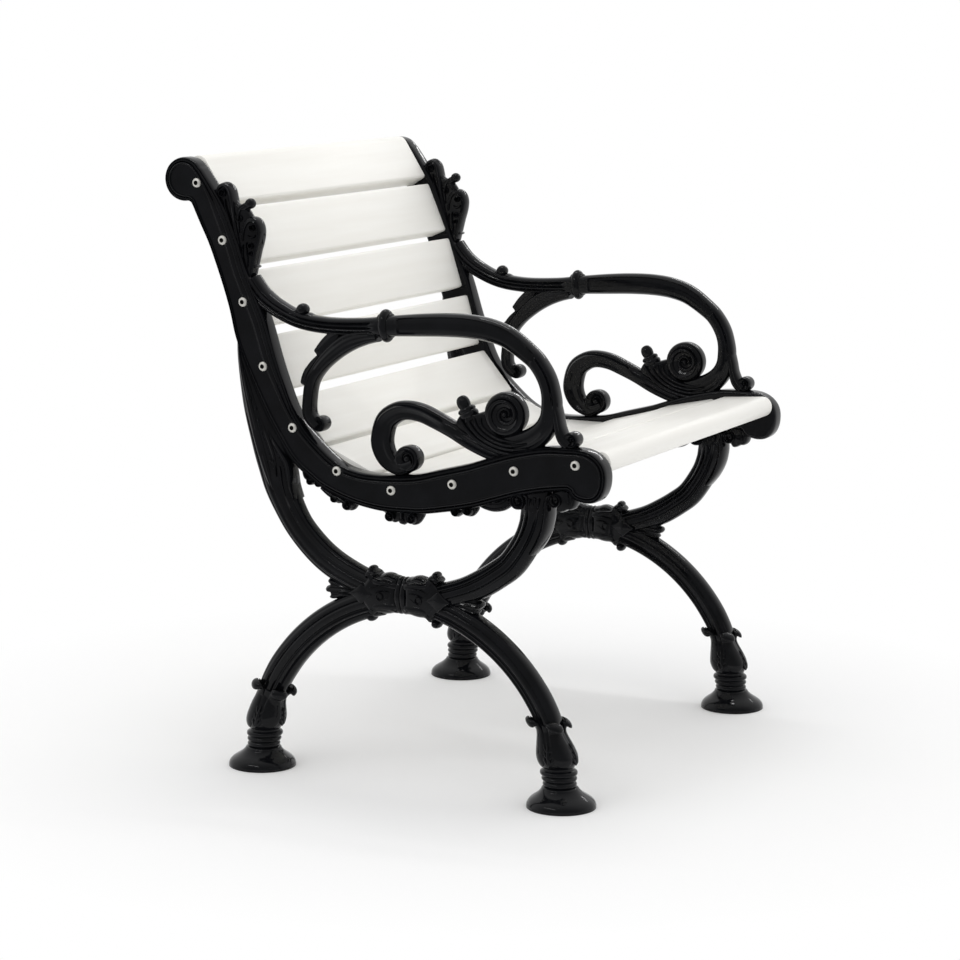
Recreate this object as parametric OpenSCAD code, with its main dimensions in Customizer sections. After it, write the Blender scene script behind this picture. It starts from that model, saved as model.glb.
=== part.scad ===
// Garden armchair: two ornamental side castings joined by ten painted wooden slats.
// Millimetres, +Z up, the sitter faces -Y. The origin lies on the ground under the middle of the chair.

/* [Overall] */
// Distance between the middles of the two side castings
frame_spacing = 592; // [400:1:1400]
// Distance between the middles of the front foot and the rear foot
foot_track = 442; // [400:1:480]

/* [Slat rail of the casting] */
// Thickness of the slat rail across the chair
rail_t = 28; // [22:0.5:44]
// Thickness of the rail's wider middle layer
rail_core_t = 22; // [14:0.5:24]
// Step from the middle layer to each face of the rail
rail_step = 3; // [1:0.5:5]
// Depth of the sunk panel in the outer face
panel_depth = 3; // [1:0.5:5]
// Width of the raised border along each side of the panel
border_w = 9; // [5:0.5:12]

/* [Strands of the casting] */
// Thickness of the arm and of the scrolls
strand_t = 26; // [18:0.5:40]
// Thickness of the wider middle layer of every strand
core_t = 14; // [8:0.5:18]
// Step from the middle layer to the faces of the arm and of the scrolls
strand_step = 3; // [1:0.5:4]
// Thickness of the legs
leg_t = 30; // [20:0.5:44]
// Step from the middle layer to the faces of the legs
leg_step = 5; // [2:0.5:7]
// Thickness of the leaf ornaments
leaf_t = 20; // [10:0.5:26]
// Thickness of the big volute in front of the sitter's arm
volute_t = 24; // [16:0.5:36]
// Radius of the big volute
volute_r = 28.5; // [20:0.5:32]
// Diameter of the collar round the arm
arm_collar_d = 43; // [34:0.5:56]
// Width of the collar round the arm
arm_collar_w = 13; // [8:0.5:20]
// Diameter of the double collar where the legs meet
knot_d = 50; // [44:0.5:60]
// Width of each bead of the double collar where the legs meet
knot_bead_w = 9; // [6:0.5:14]
// Thickness of the collars and leaf sleeves across the chair
knot_t = 36; // [30:0.5:48]

/* [Feet] */
// Diameter of the round foot base
foot_d = 90; // [70:1:120]
// Height of the upright rim of the foot base
foot_rim_h = 4; // [2:0.5:8]
// Height of the domed foot base
foot_base_h = 22; // [14:0.5:28]
// Diameter of the foot's neck
foot_neck_d = 41.5; // [34:0.5:50]
// Diameter of the two rings on the foot's neck
foot_ring_d = 47; // [44:0.5:60]
// Diameter of the foot's leaf bulb
foot_bulb_d = 52; // [48:0.5:66]
// Lean of the foot's turning towards the middle of the chair, in degrees
foot_lean = 10; // [0:0.5:14]
// Radius of the four leaf curls round the top of the foot
foot_curl_r = 6; // [4:0.5:8]
// Distance from the foot's axis to the middle of each leaf curl
foot_curl_out = 21; // [17:0.5:24]

/* [Slats] */
// Width of a slat
slat_w = 75; // [55:0.5:76]
// Thickness of a slat
slat_t = 28; // [22:0.5:32]
// Radius of the rounded slat edges
slat_edge_r = 4; // [1:0.5:9]
// Radius of the rounded outer edge of the top slat and of the front slat
nose_edge_r = 13.5; // [4:0.5:15]

/* [Fasteners] */
// Thread diameter of the slat screws
screw_d = 6; // [5:0.5:8]
// Length of the slat screws under the head
screw_len = 45; // [38:1:60]
// Head diameter of the slat screws
head_d = 13.5; // [10:0.5:16]
// Head height of the slat screws
head_h = 3.3; // [2:0.1:5]
// Width across flats of the hexagon socket
socket_af = 4; // [3:0.5:5]
// Depth of the hexagon socket
socket_depth = 2.2; // [1:0.1:2.6]
// Clearance round the screw in the casting, on the diameter
screw_clear = 0.6; // [0.2:0.1:1.5]
// Clearance round the screw head in its seat, on the diameter
head_clear = 1; // [0.4:0.1:3]
// Outer diameter of the threaded inserts in the slat ends
insert_d = 11; // [9:0.5:14]
// Length of the threaded inserts
insert_len = 20; // [12:1:30]
// Depth of the hole in a slat beyond the insert
hole_spare = 8; // [2:1:20]

/* [Hidden] */

// Curves and round shapes
steps = 3;
round_fn = 64;
ball_fn = 32;
ball_turn = -77;

// Side view points are [forward, up], measured from the ground midway between the feet.
// A third number is half the width of the strand at that point.
scroll_top = [-329, 781];
scroll_top_r = 29;
nose_back = [238, 437];
nose_front = [254, 425];
nose_r = 28.5;
rail_line = [
    [-314, 777, 20], [-297, 757, 22], [-277, 717, 21.5], [-260, 675, 21],
    [-244, 633, 22], [-230, 590, 23.5], [-216, 552, 23], [-200, 513, 22],
    [-182, 476, 21.5], [-159, 442, 21.5], [-133, 418, 21.5], [-99, 400, 21.5],
    [-60, 389.5, 22.5], [-21, 387, 24.5], [21, 390, 26], [61, 398, 27.5],
    [99, 408.5, 28.5], [141, 422, 28.5], [186, 434, 28.5], [238, 437, 28.5]
];
arm_line = [
    [-232, 652, 12], [-215, 632, 12], [-190, 616, 11.5], [-157, 603.5, 11],
    [-117, 599, 11], [-67, 600, 12], [-34, 603, 13], [13, 607, 14.5],
    [53, 609.5, 15], [88, 609.5, 15], [117, 606, 14.5], [144, 597, 13.5],
    [173, 577.5, 12], [184.5, 566.5, 11.5], [194.5, 551, 11.5], [200, 535, 11.5],
    [202, 518, 12.5], [200, 500, 13], [191, 484, 14], [174, 470.5, 15.5], [152, 463, 16.5], [130, 461, 14]
];
front_strand = [[208, 520, 6], [211, 505, 6], [214, 490, 6.5], [219, 477, 8], [228, 468, 8]];
rear_strand = [
    [-62, 597, 6], [-88, 589, 9], [-111, 573, 11], [-131, 551, 12], [-144, 528, 12],
    [-148, 503, 11], [-147, 480, 10], [-132, 468, 7]
];
scroll_line = [
    [10, 429, 7], [-9, 421, 10], [-28, 430, 13], [-37.5, 447, 15], [-37.5, 464, 15],
    [-31, 482, 14.5], [-16, 493, 13.5], [0, 496.5, 12.5], [20, 494, 12], [39, 487, 11.5],
    [64, 476, 11], [90, 463, 11], [115, 453, 10.5], [136, 448, 10]
];
rear_upper_leg = [
    [-247, 582, 6], [-241, 548, 12], [-228, 490, 17.5], [-211, 440, 23], [-200.5, 411, 23],
    [-192.5, 384, 20.5], [-178.5, 357, 19.5], [-161, 330.5, 19], [-136, 304.5, 19],
    [-110.5, 286, 19], [-79, 271, 18.5], [-50, 262, 17]
];
front_upper_leg = [
    [183, 412, 20], [183, 395, 20], [183, 378, 20], [178.5, 360, 19], [169.5, 340, 18.5],
    [150, 311, 18.5], [129, 294, 18.5], [105, 279, 18.5], [80, 268, 17], [50, 258, 17]
];

// Lower legs are arcs from the knot in the middle down to the ankles over the feet
knot = [-5.5, 253.5];
knot_reach = 40;
knot_drop = 10;
lower_leg_bulge = 24;
ankle_up = 108;
ankle_in = 17;
rear_leg_half_w = 20;
front_leg_half_w = 17;
foot_curl_up = 88;

// Leaf outlines, drawn through by smooth closed curves
crown_leaf = [
    [-284, 755], [-281, 770], [-270, 777], [-259, 772], [-254, 758], [-244, 754],
    [-234, 745], [-225, 735], [-216, 728], [-214, 716], [-217, 702], [-222, 688],
    [-224, 672], [-226, 655], [-238, 650], [-256, 690], [-272, 725]
];
fan_leaf = [
    [70, 486], [80, 500], [97, 500], [116, 506], [126, 482], [142, 462],
    [120, 448], [95, 461], [78, 472]
];
swag_leaf = [[94, 389], [104, 378], [123, 373], [141, 377], [150, 389], [125, 399]];
rear_tip_leaf = [[-75, 266], [-100, 262], [-117, 253.5], [-100, 244], [-75, 240]];
front_tip_leaf = [[65, 266], [92, 262], [110, 251], [94, 241], [65, 238]];
rear_sleeve = [
    [-63, 265], [-50, 276], [-30, 277], [-12, 271], [-12, 234], [-30, 228], [-50, 229], [-63, 240]
];
front_sleeve = [
    [55, 265], [40, 276], [20, 276], [2, 271], [2, 234], [20, 228], [40, 229], [55, 240]
];

// Scroll discs: [forward, up, radius, thickness]
discs = [
    [139.5, 501.5, volute_r, volute_t], [1, 434, 18, 24], [-129, 470, 10, 20],
    [232, 475.5, 10, 22], [154, 391, 14, 32], [206, 397, 14, 32]
];
// Balls of the ornaments: [forward, up, radius]
balls = [
    [-155, 618, 8], [78, 512, 8], [90, 507, 7.5], [83, 501, 9], [-236, 751, 7.5],
    [-154, 398, 7], [-147, 388, 7], [-137, 388, 7], [-109, 372, 9], [-90, 366, 9],
    [-20, 357, 9], [-6, 352, 7], [9, 357, 9.5], [72, 372, 8], [90, 375, 9],
    [222, 401, 9], [238, 400, 9], [-51, 282, 7.5], [-51, 223, 7.5], [40, 281, 7.5], [40, 223, 7.5]
];
arm_collar_at = [-33, 603.5];
arm_collar_tilt = 4;

// Slats: the middle of each one, where its screws enter, and the angle of its width from level in
// degrees. The top slat is turned over, so that its rounded edge is the upper one.
slat_places = [
    [-309, 777], [-270.5, 703.5], [-240, 624], [-210, 541], [-166, 463],
    [-100, 411], [-20, 392], [68, 407], [155, 431], [240, 445]
];
slat_turns = [122.5, -66.5, -72, -74, -50, -24, 0, 15, 12, 4];

// Derived places
slat_len = frame_spacing - rail_t;
front_end = nose_front[0] + nose_r;
rear_end = scroll_top[0] - scroll_top_r;
mid_forward = (front_end + rear_end) / 2;
foot_at = foot_track / 2;
ankle_at = foot_at - ankle_in;
rear_lower_leg = leg_arc(-1, rear_leg_half_w);
front_lower_leg = leg_arc(1, front_leg_half_w);
seat_x = rail_t / 2 - panel_depth;
insert_x = frame_spacing / 2 - rail_t / 2;

// A smooth curve through the given points, with a number of steps between neighbours
function spline_at(a, b, c, d, t) =
    0.5 * (2 * b + (c - a) * t + (2 * a - 5 * b + 4 * c - d) * t * t
    + (3 * b - a - 3 * c + d) * t * t * t);
function open_curve(p) = [
    for (i = [0 : len(p) - 2]) for (k = [0 : steps - 1])
        spline_at(p[max(i - 1, 0)], p[i], p[i + 1], p[min(i + 2, len(p) - 1)], k / steps),
    p[len(p) - 1]
];
function closed_curve(p) = [
    for (i = [0 : len(p) - 1]) for (k = [0 : steps - 1])
        spline_at(p[(i + len(p) - 1) % len(p)], p[i], p[(i + 1) % len(p)],
            p[(i + 2) % len(p)], k / steps)
];

// Outline of a strand of changing width along a centre line
function heading(c, i) =
    let (v = c[min(i + 1, len(c) - 1)] - c[max(i - 1, 0)], n = norm([v[0], v[1]]))
    [v[0] / n, v[1] / n];
function edge_point(c, i, inset, side) =
    let (h = heading(c, i), w = side * max(c[i][2] - inset, 1))
    [c[i][0] - h[1] * w, c[i][1] + h[0] * w];
function strand_outline(c, inset) = concat(
    [for (i = [0 : len(c) - 1]) edge_point(c, i, inset, 1)],
    [for (i = [len(c) - 1 : -1 : 0]) edge_point(c, i, inset, -1)]
);

// A lower leg's centre line: a circular arc that bulges outwards by lower_leg_bulge
function leg_arc(side, half_w) =
    let (
        a = [side * knot_reach, knot[1] - knot_drop],
        b = [side * ankle_at, ankle_up],
        m = (a + b) / 2,
        l = norm(b - a),
        u = [side * (a[1] - b[1]), side * (b[0] - a[0])] / l,
        r = (l * l / 4 + lower_leg_bulge * lower_leg_bulge) / (2 * lower_leg_bulge),
        c = m - u * (r - lower_leg_bulge),
        s = atan2(a[1] - c[1], a[0] - c[0]),
        e = atan2(b[1] - c[1], b[0] - c[0])
    )
    [for (k = [0 : 8]) let (t = s + (e - s) * k / 8) [c[0] + r * cos(t), c[1] + r * sin(t), half_w]];

// Places a side view drawing, so that its extrusion grows from the casting's middle to its outer face
module side_view() {
    translate([-frame_spacing / 2, mid_forward, 0]) rotate([90, 0, -90]) children();
}

module layer(thickness) {
    linear_extrude(height = thickness, center = true) children();
}

module strand(points, inset) {
    polygon(strand_outline(open_curve(points), inset));
}

module leaf(points) {
    polygon(closed_curve(points));
}

module rail_outline(inset) {
    strand(rail_line, inset);
    translate(scroll_top) circle(r = scroll_top_r - inset, $fn = round_fn);
    translate(nose_back) circle(r = nose_r - inset, $fn = round_fn);
    translate(nose_front) circle(r = nose_r - inset, $fn = round_fn);
}

// The rail that carries the slats, with a sunk panel in its outer face
module slat_rail() {
    difference() {
        union() {
            layer(rail_core_t) rail_outline(0);
            layer(rail_t) rail_outline(rail_step);
        }
        translate([0, 0, rail_t / 2 - panel_depth]) linear_extrude(height = panel_depth + 1)
            rail_outline(border_w);
    }
}

module leg_lines(inset) {
    strand(rear_upper_leg, inset);
    strand(front_upper_leg, inset);
    polygon(strand_outline(rear_lower_leg, inset));
    polygon(strand_outline(front_lower_leg, inset));
}

module scroll_lines(inset) {
    strand(arm_line, inset);
    strand(front_strand, inset);
    strand(rear_strand, inset);
    strand(scroll_line, inset);
}

// Strands, leaves and scroll discs of the casting
module strands() {
    layer(core_t) {
        scroll_lines(0);
        leg_lines(0);
    }
    layer(strand_t) scroll_lines(strand_step);
    layer(leg_t) leg_lines(leg_step);
    layer(leaf_t) {
        leaf(crown_leaf);
        leaf(fan_leaf);
        leaf(swag_leaf);
        leaf(rear_tip_leaf);
        leaf(front_tip_leaf);
    }
    layer(knot_t - 4) {
        polygon(rear_sleeve);
        polygon(front_sleeve);
    }
    for (d = discs) translate([d[0], d[1], 0]) cylinder(h = d[3], r = d[2], center = true, $fn = round_fn);
    for (b = balls) translate([b[0], b[1], 0]) rotate([0, 0, ball_turn]) ball(b[2]);
}

// A ball turned about the axis across the chair
module ball(r) {
    rotate_extrude($fn = ball_fn) intersection() {
        circle(r = r, $fn = ball_fn);
        translate([0, -r]) square([r + 1, 2 * r]);
    }
}

// A half round collar about the forward axis, trimmed flat to the given thickness
module collar(d, w, thickness) {
    intersection() {
        rotate([0, 90, 0]) rotate_extrude($fn = round_fn) {
            translate([0, -w / 2]) square([d / 2 - w / 2, w]);
            translate([d / 2 - w / 2, 0]) circle(r = w / 2, $fn = ball_fn);
        }
        cube([2 * w, 2 * d, thickness], center = true);
    }
}

// Domed base, ringed neck and leaf bulb of one foot, leaning towards the middle of the chair
module foot(side) {
    translate([side * foot_at, 0, 0]) {
        rotate([-90, 0, 0]) rotate_extrude($fn = round_fn) polygon([
            [0, 0], [foot_d / 2 - 2, 0], [foot_d / 2, 2], [foot_d / 2, foot_rim_h],
            [foot_d / 2 - 4, foot_rim_h + 6], [foot_neck_d / 2 + 8, foot_base_h - 3],
            [foot_neck_d / 2, foot_base_h + 2], [0, foot_base_h + 2]
        ]);
        translate([0, foot_base_h - 2, 0]) rotate([0, 0, side * foot_lean]) rotate([-90, 0, 0]) {
            rotate_extrude($fn = round_fn) foot_turning();
            for (turn = [0 : 90 : 270]) rotate([0, 0, turn]) translate([foot_curl_out, 0, foot_curl_up])
                sphere(r = foot_curl_r, $fn = ball_fn);
        }
    }
}

// Half section of the foot's turning, drawn upwards from the top of the domed base
module foot_turning() {
    polygon([
        [0, -2], [foot_neck_d / 2, -2], [foot_neck_d / 2, 8],
        [foot_ring_d / 2 - 2, 9], [foot_ring_d / 2 - 1, 12], [foot_ring_d / 2 - 2, 15],
        [foot_neck_d / 2 + 1, 17], [foot_ring_d / 2 - 1, 20], [foot_ring_d / 2, 24],
        [foot_ring_d / 2 - 1, 28], [foot_neck_d / 2 + 2, 30],
        [foot_bulb_d / 2 - 1.5, 36], [foot_bulb_d / 2, 44], [foot_bulb_d / 2 - 1, 52],
        [foot_bulb_d / 2 - 3.5, 64], [foot_bulb_d / 2 - 6.5, 76], [foot_bulb_d / 2 - 6, 86],
        [foot_bulb_d / 2 - 7, 92], [foot_bulb_d / 2 - 10, 95], [0, 95]
    ]);
}

// Clearance holes for the slat screws, each with a round seat for the head at the panel's depth
module screw_holes() {
    for (s = slat_places) translate([s[0], s[1], 0]) {
        cylinder(h = rail_t + 2, d = screw_d + screw_clear, center = true, $fn = round_fn);
        translate([0, 0, seat_x]) cylinder(h = panel_depth + 6, d = head_d + head_clear, $fn = round_fn);
    }
}

module side_frame() {
    color("#16171a") side_view() difference() {
        union() {
            slat_rail();
            strands();
            translate([arm_collar_at[0], arm_collar_at[1], 0]) rotate([0, 0, arm_collar_tilt])
                collar(arm_collar_d, arm_collar_w, knot_t - 2);
            for (side = [-1, 1]) translate([knot[0] + side * knot_bead_w / 2, knot[1], 0])
                collar(knot_d, knot_bead_w, knot_t);
            for (side = [-1, 1]) foot(side);
        }
        screw_holes();
    }
}

module right_side_frame() {
    side_frame();
}

module left_side_frame() {
    mirror([1, 0, 0]) side_frame();
}

// Quarter round corner points of a slat's section
function corner(cx, cy, r, from) = [for (k = [0 : 6]) [cx + r * cos(from + k * 15), cy + r * sin(from + k * 15)]];
function slat_section(front_r) =
    let (x = slat_w / 2, y = slat_t / 2, e = slat_edge_r, f = min(front_r, y - 0.5))
    concat(
        corner(x - f, y - f, f, 0), corner(e - x, y - e, e, 90),
        corner(e - x, e - y, e, 180), corner(x - f, f - y, f, 270)
    );

// One slat between the castings, with a hole for an insert in each end
module slat(i, front_r) {
    place = slat_places[i];
    color("#f4efe3") translate([0, mid_forward - place[0], place[1]]) rotate([90, 0, -90]) difference() {
        rotate([0, 0, slat_turns[i]]) linear_extrude(height = slat_len, center = true)
            polygon(slat_section(front_r));
        for (side = [-1, 1]) translate([0, 0, side * slat_len / 2])
            cylinder(h = 2 * (insert_len + hole_spare), d = insert_d, center = true, $fn = round_fn);
    }
}

// Button head screws in the outer face of the right casting, one for each slat
module slat_screws() {
    shank_r = screw_d / 2;
    color("#b9b9b4") side_view() for (s = slat_places) translate([s[0], s[1], seat_x]) difference() {
        union() {
            translate([0, 0, -screw_len]) cylinder(h = screw_len + 1, r = shank_r, $fn = round_fn);
            rotate_extrude($fn = round_fn) polygon([
                [0, 0], [head_d / 2, 0], [head_d / 2, head_h * 0.3], [head_d * 0.45, head_h * 0.62],
                [head_d * 0.34, head_h * 0.9], [head_d * 0.24, head_h], [0, head_h]
            ]);
        }
        translate([0, 0, head_h - socket_depth])
            cylinder(h = socket_depth + 1, r = socket_af / 2 / cos(30), $fn = 6);
    }
}

// Threaded inserts in the slat ends next to the right casting
module threaded_inserts() {
    color("#b08d48") side_view() for (s = slat_places)
        translate([s[0], s[1], -rail_t / 2 - insert_len]) difference() {
            cylinder(h = insert_len, d = insert_d, $fn = round_fn);
            translate([0, 0, -1]) cylinder(h = insert_len + 2, d = screw_d, $fn = round_fn);
        }
}

module right_slat_screws() {
    slat_screws();
}

module left_slat_screws() {
    mirror([1, 0, 0]) slat_screws();
}

module right_threaded_inserts() {
    threaded_inserts();
}

module left_threaded_inserts() {
    mirror([1, 0, 0]) threaded_inserts();
}

right_side_frame();
left_side_frame();
slat(0, nose_edge_r);  // back_slat_1
slat(1, slat_edge_r);  // back_slat_2
slat(2, slat_edge_r);  // back_slat_3
slat(3, slat_edge_r);  // back_slat_4
slat(4, slat_edge_r);  // curved_slat_5
slat(5, slat_edge_r);  // curved_slat_6
slat(6, slat_edge_r);  // seat_slat_7
slat(7, slat_edge_r);  // seat_slat_8
slat(8, slat_edge_r);  // seat_slat_9
slat(9, nose_edge_r);  // front_seat_slat_10
right_slat_screws();
left_slat_screws();
right_threaded_inserts();
left_threaded_inserts();
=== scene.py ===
import logging
import math
from dataclasses import dataclass
from enum import Enum
from typing import Callable, Dict, List, Optional, Sequence, Tuple, Union

import bmesh
import bpy
from mathutils import Matrix, Vector


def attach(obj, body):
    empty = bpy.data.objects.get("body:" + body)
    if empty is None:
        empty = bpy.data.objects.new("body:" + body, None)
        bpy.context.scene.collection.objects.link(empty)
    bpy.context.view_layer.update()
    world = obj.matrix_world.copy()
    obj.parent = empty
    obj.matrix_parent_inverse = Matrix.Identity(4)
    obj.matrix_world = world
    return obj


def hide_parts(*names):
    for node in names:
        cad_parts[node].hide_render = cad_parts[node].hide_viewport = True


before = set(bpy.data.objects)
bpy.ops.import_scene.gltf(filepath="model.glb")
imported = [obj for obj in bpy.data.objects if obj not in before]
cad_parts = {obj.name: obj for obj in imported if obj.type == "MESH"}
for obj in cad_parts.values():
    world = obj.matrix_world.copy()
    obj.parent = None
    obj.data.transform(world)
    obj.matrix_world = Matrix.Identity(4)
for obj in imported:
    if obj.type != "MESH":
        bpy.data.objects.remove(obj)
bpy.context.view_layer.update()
LOG = logging.getLogger("garden_armchair")

Point = Tuple[float, float]
Row = Sequence[float]
Inputs = Dict[Union[str, int], object]
BMesh = bmesh.types.BMesh
BMVert = bmesh.types.BMVert
Socket = bpy.types.NodeSocket
NodeOwner = Union[bpy.types.Material, bpy.types.World]

MM = 0.001
# From the chair's middle plane to a casting's middle plane, and from the side view's origin to the frame's.
HALF_SPACING = 296.0
MID_FORWARD = -37.75
BODY = "root"

# Side view places are [forward, up], measured from the ground midway between the feet, in millimetres.
# The third number of a slat is its turn from level, in degrees.
SLAT_PLACES: Tuple[Row, ...] = (
    (-309, 777, 122.5), (-270.5, 703.5, -66.5), (-240, 624, -72), (-210, 541, -74), (-166, 463, -50),
    (-100, 411, -24), (-20, 392, 0), (68, 407, 15), (155, 431, 12), (240, 445, 4),
)


class Side(Enum):
    """The two castings, by the sitter's hands."""

    RIGHT = "right"
    LEFT = "left"


class Finish(Enum):
    """The material slots of the record."""

    CASTING = "casting"
    WOOD = "slat_wood"
    STEEL = "screw_steel"
    BRASS = "insert_brass"


def smoothstep(low: float, high: float, value: float) -> float:
    """Fades smoothly from 0 to 1.

    Args:
        low: where the fade starts.
        high: where the fade ends, which may be below low.
        value: the place on the fade.

    Returns:
        0 before low, 1 after high, and a smooth share between them.
    """
    t = min(max((value - low) / (high - low), 0.0), 1.0)
    return t * t * (3.0 - 2.0 * t)


def smooth_curve(points: Sequence[Row], steps: int, closed: bool = False) -> List[List[float]]:
    """Draws a smooth curve through points of any number of coordinates.

    Args:
        points: the points that the curve passes through.
        steps: how many steps lie between neighbours.
        closed: whether the last point joins the first.

    Returns:
        The points of the curve.
    """
    count = len(points)
    spans = count if closed else count - 1

    def at(i: int) -> Row:
        """Gives the point with that number, held at the ends or turned round."""
        return points[i % count] if closed else points[min(max(i, 0), count - 1)]

    curve = []
    for i in range(spans):
        a, b, c, d = at(i - 1), at(i), at(i + 1), at(i + 2)
        for k in range(steps):
            t = k / steps
            curve.append([
                0.5 * (
                    2 * q + (r - p) * t
                    + (2 * p - 5 * q + 4 * r - s) * t * t
                    + (3 * q - p - 3 * r + s) * t ** 3
                )
                for p, q, r, s in zip(a, b, c, d)
            ])
    if not closed:
        curve.append(list(points[-1]))
    return curve


def runs_along(line: Sequence[Row]) -> List[float]:
    """Adds up the way along a line, by its first two coordinates.

    Args:
        line: its points.

    Returns:
        The way from the first point to each.
    """
    runs = [0.0]
    for a, b in zip(line, line[1:]):
        runs.append(runs[-1] + math.hypot(b[0] - a[0], b[1] - a[1]))
    return runs


def evenly(points: Sequence[Row], spacing: float, closed: bool = False) -> List[List[float]]:
    """Spaces the points of a line evenly by the length of its first two coordinates.

    Args:
        points: the points of the line.
        spacing: the wanted distance between neighbours.
        closed: whether the last point joins the first.

    Returns:
        The evenly spaced points.
    """
    line = list(points) + ([points[0]] if closed else [])
    runs = runs_along(line)
    count = max(2, round(runs[-1] / spacing))
    out, i = [], 0
    for k in range(count + (0 if closed else 1)):
        want = runs[-1] * k / count
        while i < len(runs) - 2 and runs[i + 1] < want:
            i += 1
        span = runs[i + 1] - runs[i]
        t = (want - runs[i]) / span if span > 0 else 0.0
        out.append([p + (q - p) * t for p, q in zip(line[i], line[i + 1])])
    return out


@dataclass(frozen=True)
class Flutes:
    """Grooves that run along a strand, on both of its faces."""

    at: Tuple[float, ...]
    half_width: float = 0.1
    depth: float = 2.0
    start: float = -1e6
    stop: float = 1e6
    fade: float = 14.0

    def cut(self, share: float, half_width: float, run: float) -> float:
        """Gives the depth of the grooves at one point.

        Args:
            share: the place across, from -1 to 1.
            half_width: half the strand's width in millimetres.
            run: the way along the strand in millimetres.

        Returns:
            The depth in millimetres.
        """
        rise = smoothstep(self.start, self.start + self.fade, run)
        fall = smoothstep(self.stop, self.stop - self.fade, run)
        deepest = rise * fall * self.depth
        return deepest * sum(math.exp(-((share - a) / self.half_width) ** 2) for a in self.at)


@dataclass(frozen=True)
class SunkPanel:
    """A flat sunk panel along a strand, square at its start and round at its end."""

    start: float
    stop: float
    border: float = 4.4
    depth: float = 3.0
    wall_top: float = 0.5
    wall_foot: float = -0.8
    bead: float = 0.9
    bead_place: float = 1.3
    bead_width: float = 0.7

    def cut(self, share: float, half_width: float, run: float) -> float:
        """Gives the depth of the panel at one point.

        Args:
            share: the place across, from -1 to 1.
            half_width: half the strand's width in millimetres.
            run: the way along the strand in millimetres.

        Returns:
            The depth in millimetres.
        """
        reach = half_width - self.border
        across = abs(share) * half_width
        centre = self.stop - reach
        if run > centre:
            outside = math.hypot(run - centre, across) - reach
        else:
            outside = max(across - reach, self.start - run)
        wall = self.depth * smoothstep(self.wall_top, self.wall_foot, outside)
        return wall - self.bead * math.exp(-((outside - self.bead_place) / self.bead_width) ** 2)


@dataclass
class Station:
    """One cross-section of a strand: its place, its two directions and its half sizes in millimetres."""

    place: Vector
    across: Vector
    out: Vector
    half_width: float
    half_depth: float
    run: float


def ring_of(station: Station, count: int, power: float, reliefs: Sequence) -> List[Vector]:
    """Works out where the vertices of one cross-section go.

    Args:
        station: the cross-section.
        count: how many vertices it has, an even number.
        power: 2 for an oval section, and more for a squarer one.
        reliefs: what is cut into its faces.

    Returns:
        The places of the vertices in order round the section.
    """
    half = count // 2
    ring = []
    for face in (1.0, -1.0):
        for k in range(half):
            share = math.cos(math.pi * k / half) * face
            depth = station.half_depth * (1.0 - abs(share) ** power) ** (1.0 / power)
            depth -= sum(r.cut(share, station.half_width, station.run) for r in reliefs) * (1.0 - share ** 8)
            side = station.across * (share * station.half_width)
            ring.append(station.place + side + station.out * (face * max(depth, 0.0)))
    return ring


def ring_edges(bm: BMesh, ring: Sequence[BMVert]) -> List[bmesh.types.BMEdge]:
    """Lists the edges between neighbours of a closed ring.

    Args:
        bm: the mesh.
        ring: the vertices in order.

    Returns:
        The edges in the same order.
    """
    return [bm.edges.get((a, b)) for a, b in zip(ring, list(ring[1:]) + [ring[0]])]


def start_ring(bm: BMesh, places: Sequence[Vector]) -> List[BMVert]:
    """Makes a closed ring of edges from a circle.

    Args:
        bm: the mesh.
        places: where its vertices go.

    Returns:
        The vertices in order.
    """
    ring = list(bmesh.ops.create_circle(bm, cap_ends=False, radius=1.0, segments=len(places))["verts"])
    for vert, place in zip(ring, places):
        vert.co = place
    return ring


def extrude_ring(bm: BMesh, ring: Sequence[BMVert], places: Sequence[Vector]) -> List[BMVert]:
    """Extrudes a closed ring of edges and moves the new ring to its place.

    Args:
        bm: the mesh.
        ring: the vertices of the old ring in order.
        places: where the new vertices go.

    Returns:
        The vertices of the new ring in the same order.
    """
    made = bmesh.ops.extrude_edge_only(bm, edges=ring_edges(bm, ring))["geom"]
    fresh = {item for item in made if isinstance(item, BMVert)}
    new = []
    for vert, place in zip(ring, places):
        other = next(e.other_vert(vert) for e in vert.link_edges if e.other_vert(vert) in fresh)
        other.co = place
        new.append(other)
    return new


def sweep(bm: BMesh, rings: Sequence[Sequence[Vector]]) -> None:
    """Makes a closed tube by extruding one ring from place to place.

    Args:
        bm: the mesh that it is added to.
        rings: the places of each ring's vertices.
    """
    ring = start_ring(bm, rings[0])
    ends = [ring_edges(bm, ring)]
    for places in rings[1:]:
        ring = extrude_ring(bm, ring, places)
    ends.append(ring_edges(bm, ring))
    for edges in ends:
        bmesh.ops.contextual_create(bm, geom=edges)


def inward(loop: Sequence[Row]) -> List[Vector]:
    """Finds the unit directions that point into an anticlockwise outline.

    Args:
        loop: the outline's points.

    Returns:
        One direction for each point.
    """
    count = len(loop)
    found = []
    for k in range(count):
        a, b = loop[k - 1], loop[(k + 1) % count]
        heading = Vector((b[0] - a[0], b[1] - a[1])).normalized()
        found.append(Vector((-heading.y, heading.x, 0.0)))
    return found


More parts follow.
